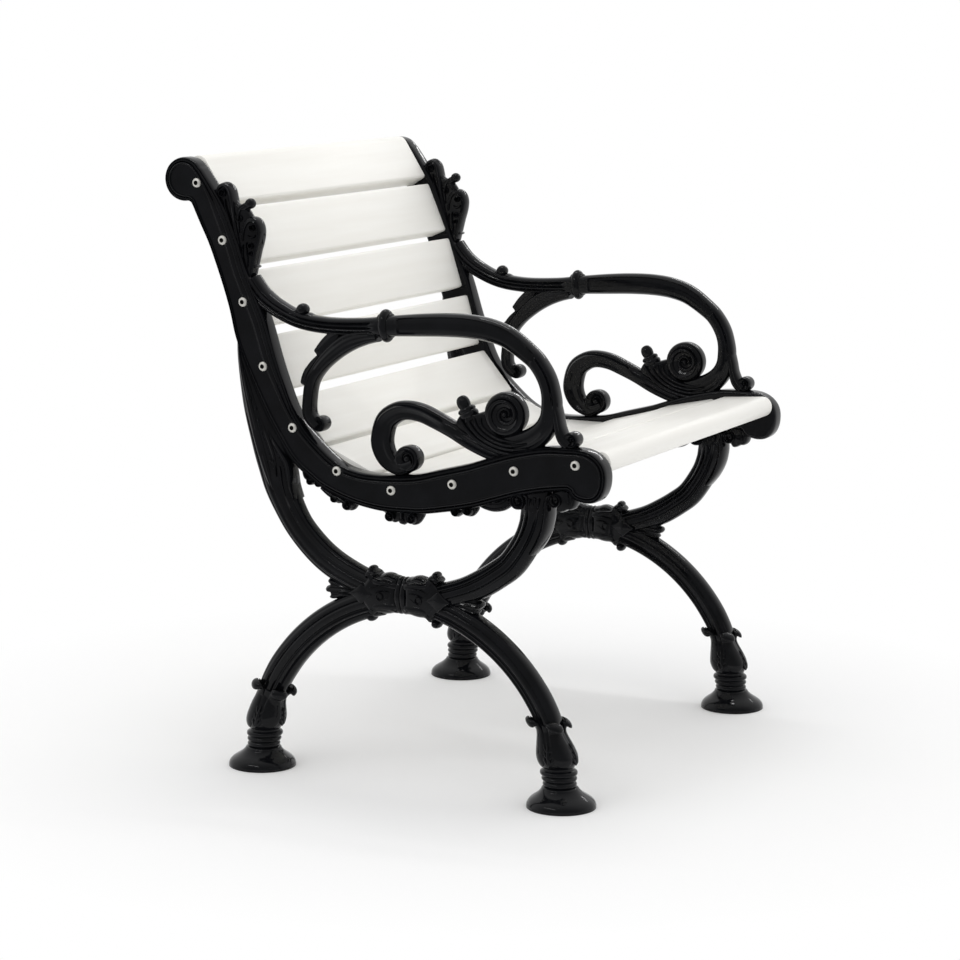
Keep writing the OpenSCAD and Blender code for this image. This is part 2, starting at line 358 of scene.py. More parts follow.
def contour(bm: BMesh, outline: Sequence[Row], faces: Sequence[Sequence[Callable[[int], Point]]]) -> None:
    """Makes a solid from an outline, with rows of edges that follow it inwards over each face.

    Args:
        bm: the mesh that it is added to.
        outline: the outline's points, anticlockwise.
        faces: for each face its rows, each of which gives a vertex's inset and depth from its number.
    """
    normals = inward(outline)
    base = [Vector((p[0], p[1], 0.0)) for p in outline]
    first = start_ring(bm, base)
    for rows in faces:
        ring = first
        for row in rows:
            places = []
            for k, point in enumerate(base):
                inset, depth = row(k)
                places.append(point + normals[k] * inset + Vector((0.0, 0.0, depth)))
            ring = extrude_ring(bm, ring, places)
        bmesh.ops.triangle_fill(bm, use_beauty=True, use_dissolve=False, edges=ring_edges(bm, ring))


def steady(rows: Sequence[Point], sign: float) -> List[Callable[[int], Point]]:
    """Turns plain insets and depths into rows that are the same all round.

    Args:
        rows: the insets and depths.
        sign: 1 for the outer face, -1 for the inner one.

    Returns:
        The rows.
    """
    return [lambda k, inset=inset, depth=depth: (inset, sign * depth) for inset, depth in rows]


def puffed(half_depth: float, reach: float, steps: int) -> List[Point]:
    """Gives the rows of a rounded cushion-like face.

    Args:
        half_depth: half the thickness at the middle.
        reach: how far in the rounding goes.
        steps: how many rows it has.

    Returns:
        Insets and depths.
    """
    rows = []
    for k in range(1, steps + 1):
        angle = math.pi / 2 * k / steps
        rows.append((reach * (1.0 - math.cos(angle)), half_depth * math.sin(angle)))
    return rows


def turned(bm: BMesh, profile: Sequence[Row], place: Matrix, segments: int) -> None:
    """Turns a half section round the local Z axis.

    Args:
        bm: the mesh that it is added to.
        profile: radius and height of each point, from axis to axis.
        place: moves the finished turning.
        segments: how many steps the turn has.
    """
    verts = [bm.verts.new((max(r, 0.0), 0.0, h)) for r, h in profile]
    edges = [bm.edges.new(pair) for pair in zip(verts, verts[1:])]
    before = set(bm.verts) - set(verts)
    bmesh.ops.spin(
        bm, geom=verts + edges, cent=(0, 0, 0), axis=(0, 0, 1),
            angle=2 * math.pi, steps=segments, use_merge=True,
    )
    mine = [v for v in bm.verts if v not in before]
    bmesh.ops.remove_doubles(bm, verts=mine, dist=1e-4)
    mine = [v for v in bm.verts if v not in before]
    bmesh.ops.transform(bm, matrix=place, verts=mine)


@dataclass(frozen=True)
class Curl:
    """A round dished disc with a raised spiral strand on both faces and an eye in the middle."""

    place: Point
    radius: float
    half_depth: float
    turns: float = 1.25
    direction: float = 1.0
    start_angle: float = 230.0
    eye: float = 0.2
    dish: float = 0.4
    width: float = 0.17

    def level(self, share: float) -> float:
        """Gives the height of the dished face above the middle plane.

        Args:
            share: the distance from the middle as a share of the radius.

        Returns:
            The height in millimetres.
        """
        slope = smoothstep(0.15, 0.8, share)
        return self.half_depth * (1.0 - self.dish * (1.0 - slope * 0.75))

    def spiral(self) -> "Strand":
        """Makes the raised strand, which runs inwards from the rim."""
        points = []
        count = max(8, round(self.turns * 12))
        for k in range(count + 1):
            share = k / count
            angle = math.radians(self.start_angle) + self.direction * 2 * math.pi * self.turns * share
            outer = 1.0 - self.width
            reach = self.radius * (outer - (outer - self.eye * 0.8) * share ** 0.85)
            half = self.radius * self.width * (1.0 - 0.45 * share)
            depth = self.level(reach / self.radius) + self.half_depth * 0.26 * (1.0 - 0.3 * share)
            points.append((
                self.place[0] + reach * math.cos(angle), self.place[1] + reach * math.sin(angle), half,
                min(depth, self.half_depth * 1.02),
            ))
        return Strand(tuple(points), self.half_depth, power=2.0, spacing=max(0.7, self.radius / 18), count=24)

    def build(self, bm: BMesh) -> None:
        """Adds the disc, its spiral and its eye to a mesh.

        Args:
            bm: the mesh.
        """
        high, rim = self.half_depth, 0.24 * self.radius
        outer: List[Point] = [(self.radius * s, self.level(s)) for s in (0.0, 0.15, 0.3, 0.45, 0.6, 0.7)]
        outer.append((0.76 * self.radius, high * 0.985))
        for k in range(1, 7):
            angle = math.pi / 2 * k / 6
            outer.append((self.radius - rim + rim * math.sin(angle),
                high - 0.72 * high * (1.0 - math.cos(angle))))
        profile = [(r, -h) for r, h in outer] + [(r, h) for r, h in reversed(outer)]
        place = Matrix.Translation((*self.place, 0.0))
        turned(bm, profile, place, 64 if self.radius > 15 else 36)
        self.spiral().build(bm)
        Knob(self.place, self.radius * self.eye, self.half_depth * 0.9 / (self.radius * self.eye)).build(bm)


@dataclass(frozen=True)
class Strand:
    """A cast strand of changing width that follows a smooth line in side view."""

    line: Tuple[Row, ...]
    half_depth: float
    power: float = 3.0
    spacing: float = 3.0
    count: int = 44
    round_start: bool = False
    round_end: bool = False
    reliefs: Tuple = ()

    def stations(self) -> List[Station]:
        """Works out the cross-sections along the strand.

        Returns:
            The stations in order.
        """
        line = evenly(smooth_curve(self.line, 12), self.spacing)
        runs = runs_along(line)
        out = []
        for k, point in enumerate(line):
            a, b = line[max(k - 1, 0)], line[min(k + 1, len(line) - 1)]
            heading = Vector((b[0] - a[0], b[1] - a[1], 0.0)).normalized()
            shrink = 1.0
            if self.round_start:
                shrink = min(shrink, self.end_share(runs[k], max(line[0][2], 2.0)))
            if self.round_end:
                shrink = min(shrink, self.end_share(runs[-1] - runs[k], max(line[-1][2], 2.0)))
            depth = point[3] if len(point) > 3 else self.half_depth
            out.append(Station(
                Vector((point[0], point[1], 0.0)), Vector((-heading.y, heading.x, 0.0)), Vector((0, 0, 1)),
                max(point[2], 0.4) * shrink, depth * (0.35 + 0.65 * shrink), runs[k],
            ))
        return out

    @staticmethod
    def end_share(run: float, reach: float) -> float:
        """Gives the share of the width that is left close to a round end.

        Args:
            run: the distance from the end.
            reach: how far the rounding goes.

        Returns:
            The share, at least 0.12.
        """
        if run >= reach:
            return 1.0
        return max(math.sqrt(1.0 - (1.0 - run / reach) ** 2), 0.12)

    def run_at(self, place: Point) -> float:
        """Finds the way along the strand that is nearest to a place.

        Args:
            place: forward and up.

        Returns:
            The way in millimetres.
        """
        return min(self.stations(), key=lambda s: math.hypot(s.place.x - place[0], s.place.y - place[1])).run

    def build(self, bm: BMesh) -> None:
        """Adds the strand to a mesh.

        Args:
            bm: the mesh.
        """
        sweep(bm, [ring_of(s, self.count, self.power, self.reliefs) for s in self.stations()])


def lobe(points: Sequence[Row], half_depth: float, vein: float = 0.9) -> Strand:
    """Makes a small leaf lobe with rounded ends and a groove along its middle.

    Args:
        points: forward, up and half width of the points along its middle.
        half_depth: half its thickness.
        vein: the depth of the groove.

    Returns:
        The strand.
    """
    return Strand(
        tuple(points), half_depth, power=2.2, spacing=2.0, count=24, round_start=True, round_end=True,
        reliefs=(Flutes((0.0,), 0.22, vein),),
    )


def join(bm: BMesh, parts: Sequence) -> None:
    """Builds several shapes, each in a mesh of its own for speed, and adds them to one.

    Args:
        bm: the mesh that they are added to.
        parts: the shapes, each with a build method.
    """
    for part in parts:
        single = bmesh.new()
        part.build(single)
        for face in single.faces:
            face.smooth = True
        scratch = bpy.data.meshes.new("scratch")
        single.to_mesh(scratch)
        bm.from_mesh(scratch)
        single.free()
        bpy.data.meshes.remove(scratch)


@dataclass(frozen=True)
class Knob:
    """A ball, flattened or drawn out across the chair by a share of its radius."""

    place: Point
    radius: float
    flat: float = 0.95

    def build(self, bm: BMesh) -> None:
        """Adds the bead to a mesh.

        Args:
            bm: the mesh.
        """
        matrix = Matrix.Translation((*self.place, 0.0)) @ Matrix.Diagonal((1, 1, self.flat, 1))
        bmesh.ops.create_uvsphere(bm, u_segments=28, v_segments=16, radius=self.radius, matrix=matrix)


@dataclass(frozen=True)
class Collar:
    """A round bead across a strand, between lips where it has them, flattened to its half depth."""

    place: Point
    radius: float
    bead: float
    half_depth: float
    tilt: float = 0.0
    lips: Tuple[Point, ...] = ()

    def build(self, bm: BMesh) -> None:
        """Adds the collar to a mesh.

        Args:
            bm: the mesh.
        """
        lips = self.lips or ((0.0, self.bead),)
        profile = [(r, -h) for r, h in lips]
        for k in range(13):
            angle = math.radians(-90 + 15 * k)
            profile.append((self.radius - self.bead + self.bead * math.cos(angle),
                self.bead * math.sin(angle)))
        profile += reversed(lips)
        place = (
            Matrix.Translation((*self.place, 0.0))
            @ Matrix.Rotation(math.radians(self.tilt), 4, "Z")
            @ Matrix.Diagonal((1.0, 1.0, self.half_depth / self.radius, 1.0))
            @ Matrix.Rotation(math.radians(90), 4, "Y")
        )
        turned(bm, profile, place, 64)


@dataclass(frozen=True)
class Plate:
    """A leaf-shaped plate with rounded edges."""

    outline: Tuple[Row, ...]
    half_depth: float
    reach: float = 3.0
    spacing: float = 2.5

    def build(self, bm: BMesh) -> None:
        """Adds the plate to a mesh.

        Args:
            bm: the mesh.
        """
        loop = evenly(smooth_curve(self.outline, 10, closed=True), self.spacing, closed=True)
        if signed_area(loop) < 0:
            loop.reverse()
        rows = puffed(self.half_depth, self.reach, 5)
        contour(bm, loop, [steady(rows, 1.0), steady(rows, -1.0)])


def signed_area(loop: Sequence[Row]) -> float:
    """Gives the area inside a closed outline, positive if it runs anticlockwise.

    Args:
        loop: the outline's points.

    Returns:
        The signed area.
    """
    return 0.5 * sum(a[0] * b[1] - b[0] * a[1] for a, b in zip(loop, list(loop[1:]) + [loop[0]]))


class Workshop:
    """Turns finished meshes into pieces of the scene."""

    def __init__(self, finishes: Dict[Finish, bpy.types.Material], recess: bpy.types.Material) -> None:
        """Keeps the finishes.

        Args:
            finishes: the material of each slot.
            recess: the near-black material inside the screws' sockets, which paints shade into those
                recesses.
        """
        self.finishes = finishes
        self.recess = recess

    def piece(
        self, name: str, bm: BMesh, matrix: Matrix, finish: Finish, nodes: Sequence[str],
        sharp: float = 38.0, recess: bool = False,
    ) -> bpy.types.Object:
        """Makes one piece, dresses it and hangs it on the frame.

        Args:
            name: the piece's name.
            bm: its mesh in side view millimetres, which is left as it was.
            matrix: where it goes in the scene.
            finish: its material slot.
            nodes: the nodes that it stands for.
            sharp: the angle above which edges stay sharp, in degrees.
            recess: whether it has painted shade in its recesses, as a near-black second material on those
                faces.

        Returns:
            The object.
        """
        work = bm.copy()
        bmesh.ops.transform(work, matrix=matrix, verts=work.verts[:])
        bmesh.ops.remove_doubles(work, verts=work.verts[:], dist=1e-6)
        bmesh.ops.recalc_face_normals(work, faces=work.faces[:])
        mesh = bpy.data.meshes.new(name)
        work.to_mesh(mesh)
        work.free()
        mesh.set_sharp_from_angle(angle=math.radians(sharp))
        mesh.materials.append(self.finishes[finish])
        # the second material paints shade into the screws' sockets
        if recess:
            mesh.materials.append(self.recess)
        piece = bpy.data.objects.new(name, mesh)
        bpy.context.scene.collection.objects.link(piece)
        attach(piece, BODY)
        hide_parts(*nodes)
        LOG.info("%s: %d faces", name, len(mesh.polygons))
        return piece


def side_view_matrix(turn: float, spacing: float) -> Matrix:
    """Gives the matrix from side view millimetres to the scene.

    Args:
        turn: 1 if the third side view coordinate points to the sitter's left, -1 if it points right.
        spacing: how far out the side view's plane lies on that side, in millimetres.

    Returns:
        The matrix.
    """
    return Matrix((
        (0.0, 0.0, turn * MM, turn * spacing * MM),
        (-MM, 0.0, 0.0, MID_FORWARD * MM),
        (0.0, MM, 0.0, 0.0),
        (0.0, 0.0, 0.0, 1.0),
    ))


def casting_matrix(side: Side) -> Matrix:
    """Gives the matrix from side view millimetres to one casting, which mirrors the left one."""
    return side_view_matrix(-1.0 if side is Side.RIGHT else 1.0, HALF_SPACING)


@dataclass
class CastPart:
    """A part of a side casting, built once and placed on both sides."""

    name: str = "cast_part"

    def shapes(self) -> Sequence:
        """Lists the part's shapes, each with a build method."""
        return ()

    def make(self, shop: Workshop) -> None:
        """Builds the part and places it on both sides.

        Args:
            shop: makes the pieces.
        """
        bm = bmesh.new()
        join(bm, self.shapes())
        for side in Side:
            shop.piece(
                f"{side.value}_{self.name}", bm, casting_matrix(side),
                    Finish.CASTING, [f"{side.value}_side_frame"],
            )
        bm.free()


@dataclass
class RailBody:
    """The slat rail: one outline with a moulded border round a sunk panel in its outer face."""

    front: Tuple[Row, ...] = (
        (-303, 796), (-296, 787), (-287, 775), (-274, 757), (-263, 738), (-254, 717.5), (-245, 695),
        (-236, 668),
        (-221, 634), (-206.5, 601), (-191.2, 553.6), (-180.1, 523), (-166.2, 490), (-150, 465), (-134.7, 449),
        (-110.9, 429), (-91.8, 418.2), (-72.8, 413), (-53.7, 411), (-20, 411.5), (15.7, 415.3), (47.7, 424),
        (87.7, 434.6), (105.3, 440.5), (150, 455), (188, 463.5), (210, 466), (234, 466.3),
    )
    rear: Tuple[Row, ...] = (
        (-318, 751), (-314, 744), (-304, 723.7), (-291.5, 699), (-281.4, 674.2), (-271.3, 647.2),
        (-262.3, 620.2),
        (-257.5, 602.2), (-252, 579.7), (-242, 552.7), (-228.5, 521.2), (-215, 492), (-201.5, 467.2),
        (-176.3, 429.4), (-159.5, 411.4), (-138.2, 396.1), (-123.9, 387), (-100, 377), (-71.5, 368.7),
        (-43, 364), (-21.5, 362.7), (2.3, 363.2), (26, 364.4), (66.5, 371.5), (100, 379), (130, 388.5),
        (160, 398), (190, 405), (215, 409), (231, 411),
    )
    bulb: Tuple[Row, ...] = (
        (232, 408), (237, 402.5), (245, 399), (256, 397.5), (267, 399.7), (275.5, 406.5), (280.6, 417),
        (282.3, 429),
        (281.2, 440), (277.6, 448.5), (271.5, 455.5), (263.5, 461), (253.5, 464.6), (243, 466.1),
    )
    scroll: Point = (-329, 781)
    scroll_radius: float = 29.0
    panel_depth: float = 11.0
    seat_radius: float = 7.6
    seat_wall: float = 0.8
    end_border: float = 9.5
    spacing: float = 2.2
    soft_reach: int = 6

    def outline(self) -> Tuple[List[List[float]], List[float]]:
        """Draws the rail's outline with the width of its border.

        Returns:
            The points, anticlockwise, and the border's width at each, softened along the outline.
        """
        front = [p + [self.border(p[1], True)] for p in smooth_curve(self.front, 6)]
        rear = [p + [self.border(p[1], False)] for p in smooth_curve(self.rear, 6)]
        bulb = [p + [self.end_border] for p in smooth_curve(self.bulb, 6)]
        start = math.atan2(front[0][1] - self.scroll[1], front[0][0] - self.scroll[0])
        stop = math.atan2(rear[0][1] - self.scroll[1], rear[0][0] - self.scroll[0]) + 2 * math.pi
        scroll = self.scroll_arc(start + 0.08, stop - 0.12)
        loop = evenly(bulb + front[::-1] + scroll + rear, self.spacing, closed=True)
        widths = [p[2] for p in loop]
        count, near = len(loop), range(-self.soft_reach, self.soft_reach + 1)
        soft = [sum(widths[(k + j) % count] for j in near) / len(near) for k in range(count)]
        return [p[:2] for p in loop], soft

    @staticmethod
    def border(up: float, in_front: bool) -> float:
        """Gives the width of the raised border, which widens in front of the back slats.

        Args:
            up: the height of the place.
            in_front: whether it is the front edge.

        Returns:
            The width in millimetres.
        """
        high, top = smoothstep(470, 570, up), smoothstep(738, 785, up)
        if in_front:
            return 11.0 + 9.0 * high - 9.0 * top
        return 10.0 - 4.5 * high + 3.5 * top

    def scroll_arc(self, start: float, stop: float) -> List[List[float]]:
        """Draws the round end at the top of the rail.

        Args:
            start: its first angle in radians.
            stop: its last angle in radians, after the first.

        Returns:
            Forward, up and border width of its points.
        """
        steps = max(2, int((stop - start) * self.scroll_radius / 2.0))
        points = []
        for k in range(steps + 1):
            angle = start + (stop - start) * k / steps
            forward = self.scroll[0] + self.scroll_radius * math.cos(angle)
            points.append([forward, self.scroll[1] + self.scroll_radius * math.sin(angle), self.end_border])
        return points

    def build(self, bm: BMesh) -> None:
        """Adds the rail to a mesh.

        Args:
            bm: the mesh.
        """
        loop, border = self.outline()
        normals = inward(loop)
        # share of the border's width, then depth: rounded edge, flat band, groove, bead and wall
        moulding = (
            (0.0, 6.5), (0.02, 8.8), (0.06, 10.9), (0.11, 12.2), (0.16, 12.8), (0.20, 12.5), (0.24, 11.9),
            (0.28, 12.7), (0.32, 13.6), (0.36, 13.6), (0.40, 12.9), (0.45, 13.1), (0.51, 13.2), (0.55, 12.8),
            (0.58, 11.9), (0.61, 11.3), (0.64, 11.6), (0.68, 12.5), (0.73, 13.4), (0.78, 14.0), (0.83, 14.2),
            (0.87, 13.9), (0.91, 13.3), (0.95, 12.5), (1.0, 11.2),
        )

        def row(share: float, depth: float, more: float) -> Callable[[int], Point]:
            """Makes one row that follows the border's width and keeps clear of the screws' seats."""
            def at(k: int) -> Point:
                """Gives the inset and depth of one vertex."""
                inset = border[k] * share + more
                height = depth
                place = (loop[k][0] + normals[k].x * inset, loop[k][1] + normals[k].y * inset)
                near = min(math.dist(place, s[:2]) for s in SLAT_PLACES)
                if height > self.panel_depth:
                    seat = smoothstep(self.seat_radius + self.seat_wall, self.seat_radius, near)
                    height += (self.panel_depth - height) * seat
                return inset, height
            return at

        outer = [row(s, d, 0.0) for s, d in moulding]
        outer += [row(1.0, self.panel_depth, 0.5), row(1.0, self.panel_depth, 1.5)]
        inner = steady([(0.0, 7.0), (0.4, 9.6), (1.4, 11.8), (2.8, 13.2), (4.4, 13.8), (5.5, 13.8)], -1.0)
        contour(bm, loop, [outer, inner])


@dataclass
class SlatRail(CastPart):
    """The rail that carries the slats."""

    name: str = "slat_rail"
    def shapes(self) -> Sequence:
        """Lists the rail's single body."""
        return (RailBody(),)


ARM_LINE: Tuple[Row, ...] = (
    (-232, 652, 12, 13), (-215, 632, 12, 13), (-190, 616, 11.5, 13), (-157, 603.5, 11, 13),
    (-117, 599, 11, 13),
    (-67, 600, 12, 13), (-34, 603, 13, 13), (13, 607, 14.5, 13), (53, 609.5, 15, 13), (88, 609.5, 15, 13),
    (117, 606, 14.5, 13), (144, 597, 13.5, 13), (173, 577.5, 12, 13), (184.5, 566.5, 11.5, 13),
    (194.5, 551, 11.5, 13),
    (200, 535, 11.5, 13), (202, 518, 12.5, 13), (200, 500, 13, 13), (191, 484, 14, 13),
    (174, 470.5, 15.5, 12),
    (152, 463, 15.5, 9.6), (133, 460, 12, 7.2), (118, 458, 6, 5),
)
SCROLL_LINE: Tuple[Row, ...] = (
    (10, 429, 7), (-9, 421, 10), (-28, 430, 13), (-37.5, 447, 15), (-37.5, 464, 15), (-31, 482, 14.5),
    (-16, 493, 13.5), (0, 496.5, 12.5), (20, 494, 12), (39, 487, 11.5), (64, 476, 11), (90, 463, 11),
    (115, 453, 10.5), (136, 448, 10),
)


@dataclass
class ArmAndScrolls(CastPart):
    """The armrest with its flat panel and collar, the strands below it, the S scroll and the big volute."""

    name: str = "arm_and_scrolls"
    half_depth: float = 13.0
    volute: Point = (139.5, 501.5)
    volute_radius: float = 28.5
    def arm(self) -> Strand:
        """Makes the armrest, fluted behind the collar, with a bare sunk panel in front of it."""
        run_at = Strand(ARM_LINE, self.half_depth).run_at
        return Strand(
            ARM_LINE, self.half_depth, power=2.8, spacing=2.0, count=56,
            reliefs=(
                Flutes((-0.55, -0.1, 0.4), 0.11, 3.0, stop=run_at((-42, 602))),
                SunkPanel(run_at((-13, 605)), run_at((178, 572))),
                Flutes((0.36,), 0.1, 2.4, start=run_at((172, 578)), stop=run_at((204, 508))),
                Flutes((0.1, 0.55), 0.12, 1.8, start=run_at((196, 492)), fade=20.0),
            ),
        )

    def strands(self) -> List[Strand]:
        """Makes the front strand, the rear strand and the S scroll."""
        front = ((198, 540, 5), (206, 522, 6), (211, 505, 6), (214, 490, 6.5), (219, 477, 8), (228, 468, 8))
        rear = (
            (-44, 590, 8), (-64, 587.5, 11), (-86, 580.5, 13), (-107, 566.5, 12), (-127, 547.5, 10.2),
            (-140.5, 527, 9),
            (-145.5, 503, 8.5), (-145, 480, 8.6), (-132, 466, 8),
        )
        run_at = Strand(SCROLL_LINE, self.half_depth).run_at
        bend = run_at((62, 477))
        return [
            Strand(front, 12.0, power=2.6, spacing=2.0, count=36, reliefs=(Flutes((0.1,), 0.2, 1.2),)),
            Strand(rear, 12.4, power=2.4, spacing=2.0, count=44, reliefs=(
                Flutes((-0.35,), 0.14, 2.0), Flutes((0.35,), 0.14, 1.4, stop=110.0),
            )),
            Strand(SCROLL_LINE, self.half_depth, power=2.5, spacing=2.0, count=52, round_end=True, reliefs=(
                Flutes((-0.2,), 0.4, 3.4, start=14.0, stop=bend, fade=30.0),
                Flutes((0.42,), 0.09, -1.6, start=4.0, stop=bend), Flutes((0.64,),
                    0.07, 1.4, start=4.0, stop=bend),
                Flutes((0.42, -0.2), 0.13, 2.2, start=run_at((70, 473)), fade=14.0),
            )),
        ]

    def rear_leaf(self) -> List:
        """Makes the serrated leaf edge behind the rear strand."""
        return [
            Plate((
                (-96, 597), (-112, 592), (-124, 581), (-137, 567), (-133.5, 559), (-143, 550), (-152, 540),
                (-157.5, 523), (-150, 519), (-140, 530), (-125, 550), (-105, 572),
            ), 8.4, 3.0, 1.5),
            lobe(((-98, 594, 3.6), (-112, 587, 5), (-124, 576, 5), (-133, 566, 3.2)), 10.2, 1.2),
            lobe(((-127, 561, 3), (-139, 549, 4.4), (-148, 536, 4.6), (-153, 525, 3)), 10.2, 1.2),
        ]

    def reeds(self) -> List[Strand]:
        """Makes the sheaf of reeds that sweeps from the finial round the big volute to the arm."""
        lines = (
            ((77, 493, 3.0), (88, 478, 4.2), (104, 465, 4.6), (127, 455.5, 4.4), (150, 452, 3.6),
            (174, 455, 2.6)),
            ((87, 495, 3.0), (96, 480, 4.0), (109, 469, 4.2), (129, 460.5, 4.0), (152, 457.5, 3.4),
            (175, 461, 2.6)),
            ((97, 496, 2.8), (102, 483, 3.6), (114, 472.5, 3.8), (131, 465, 3.6), (152, 462.5, 3.2),
            (174, 467, 2.4)),
            ((107, 497, 2.6), (108, 486, 3.2), (117, 477.5, 3.4), (133, 470, 3.2), (152, 467.5, 3.0),
            (171, 472, 2.2)),
        )
        return [
            Strand(line, 12.6 - 0.35 * k, power=2.1, spacing=2.0, count=26, round_start=True, round_end=True)
            for k, line in enumerate(lines)
        ]

    def shapes(self) -> Sequence:
        """Lists the arm, strands, curls, fan, finial and collar."""
        curls = [
            Curl(self.volute, self.volute_radius, 12.6, 1.75, -1.0, 250.0, 0.18, 0.7, 0.19),
            Curl((1, 434), 17.5, 12.8, 1.1, 1.0, 215.0, 0.4, 0.5, 0.17),
            Curl((-129, 470), 10.5, 11.5, 1.0, 1.0, 215.0, 0.26),
            Curl((232, 475.5), 10.5, 11.5, 1.0, 1.0, 215.0, 0.26),
        ]
        base = Plate((
            (70, 486), (80, 500), (97, 500), (114, 502), (124, 482), (142, 462), (120, 450), (95, 463),
            (78, 474),
        ), 8.6)
        collar = Collar((-33, 603.5), 21.5, 6.2, 17.0, 4.0, ((0.0, 9.5), (15.0, 9.5), (15.6, 8.8),
            (15.8, 7.2)))
        return [self.arm(), *self.strands(), *self.rear_leaf(), *self.reeds(), *curls, base, Finial(), collar]


@dataclass(frozen=True)
class Finial:
    """The bud on the fan: a ringed stem with a round head, leaning back."""

    foot: Point = (88.5, 492.5)
    head: Point = (72.8, 520.7)

    def build(self, bm: BMesh) -> None:
        """Adds the bud to a mesh.

        Args:
            bm: the mesh.
        """
        start = Vector((*self.foot, 0.0))
        way = Vector((*self.head, 0.0)) - start
        profile = (
            (0.0, -4.0), (10.6, -4.0), (11.2, -1.4), (10.8, 0.4), (11.6, 1.6), (12.7, 3.0), (13.0, 5.2),
            (12.5, 7.4),
            (11.4, 8.6), (11.2, 9.2), (11.8, 10.2), (12.0, 12.0), (11.0, 14.0), (9.0, 15.2), (8.0, 15.8),
            (8.2, 17.0),
            (8.7, 20.0), (8.6, 23.4), (7.6, 26.8), (5.6, 29.6), (2.9, 31.0), (0.0, 31.4),
        )
        turn = Vector((0, 0, 1)).rotation_difference(way).to_matrix().to_4x4()
        turned(bm, smooth_curve(profile, 3), Matrix.Translation(start) @ turn, 40)


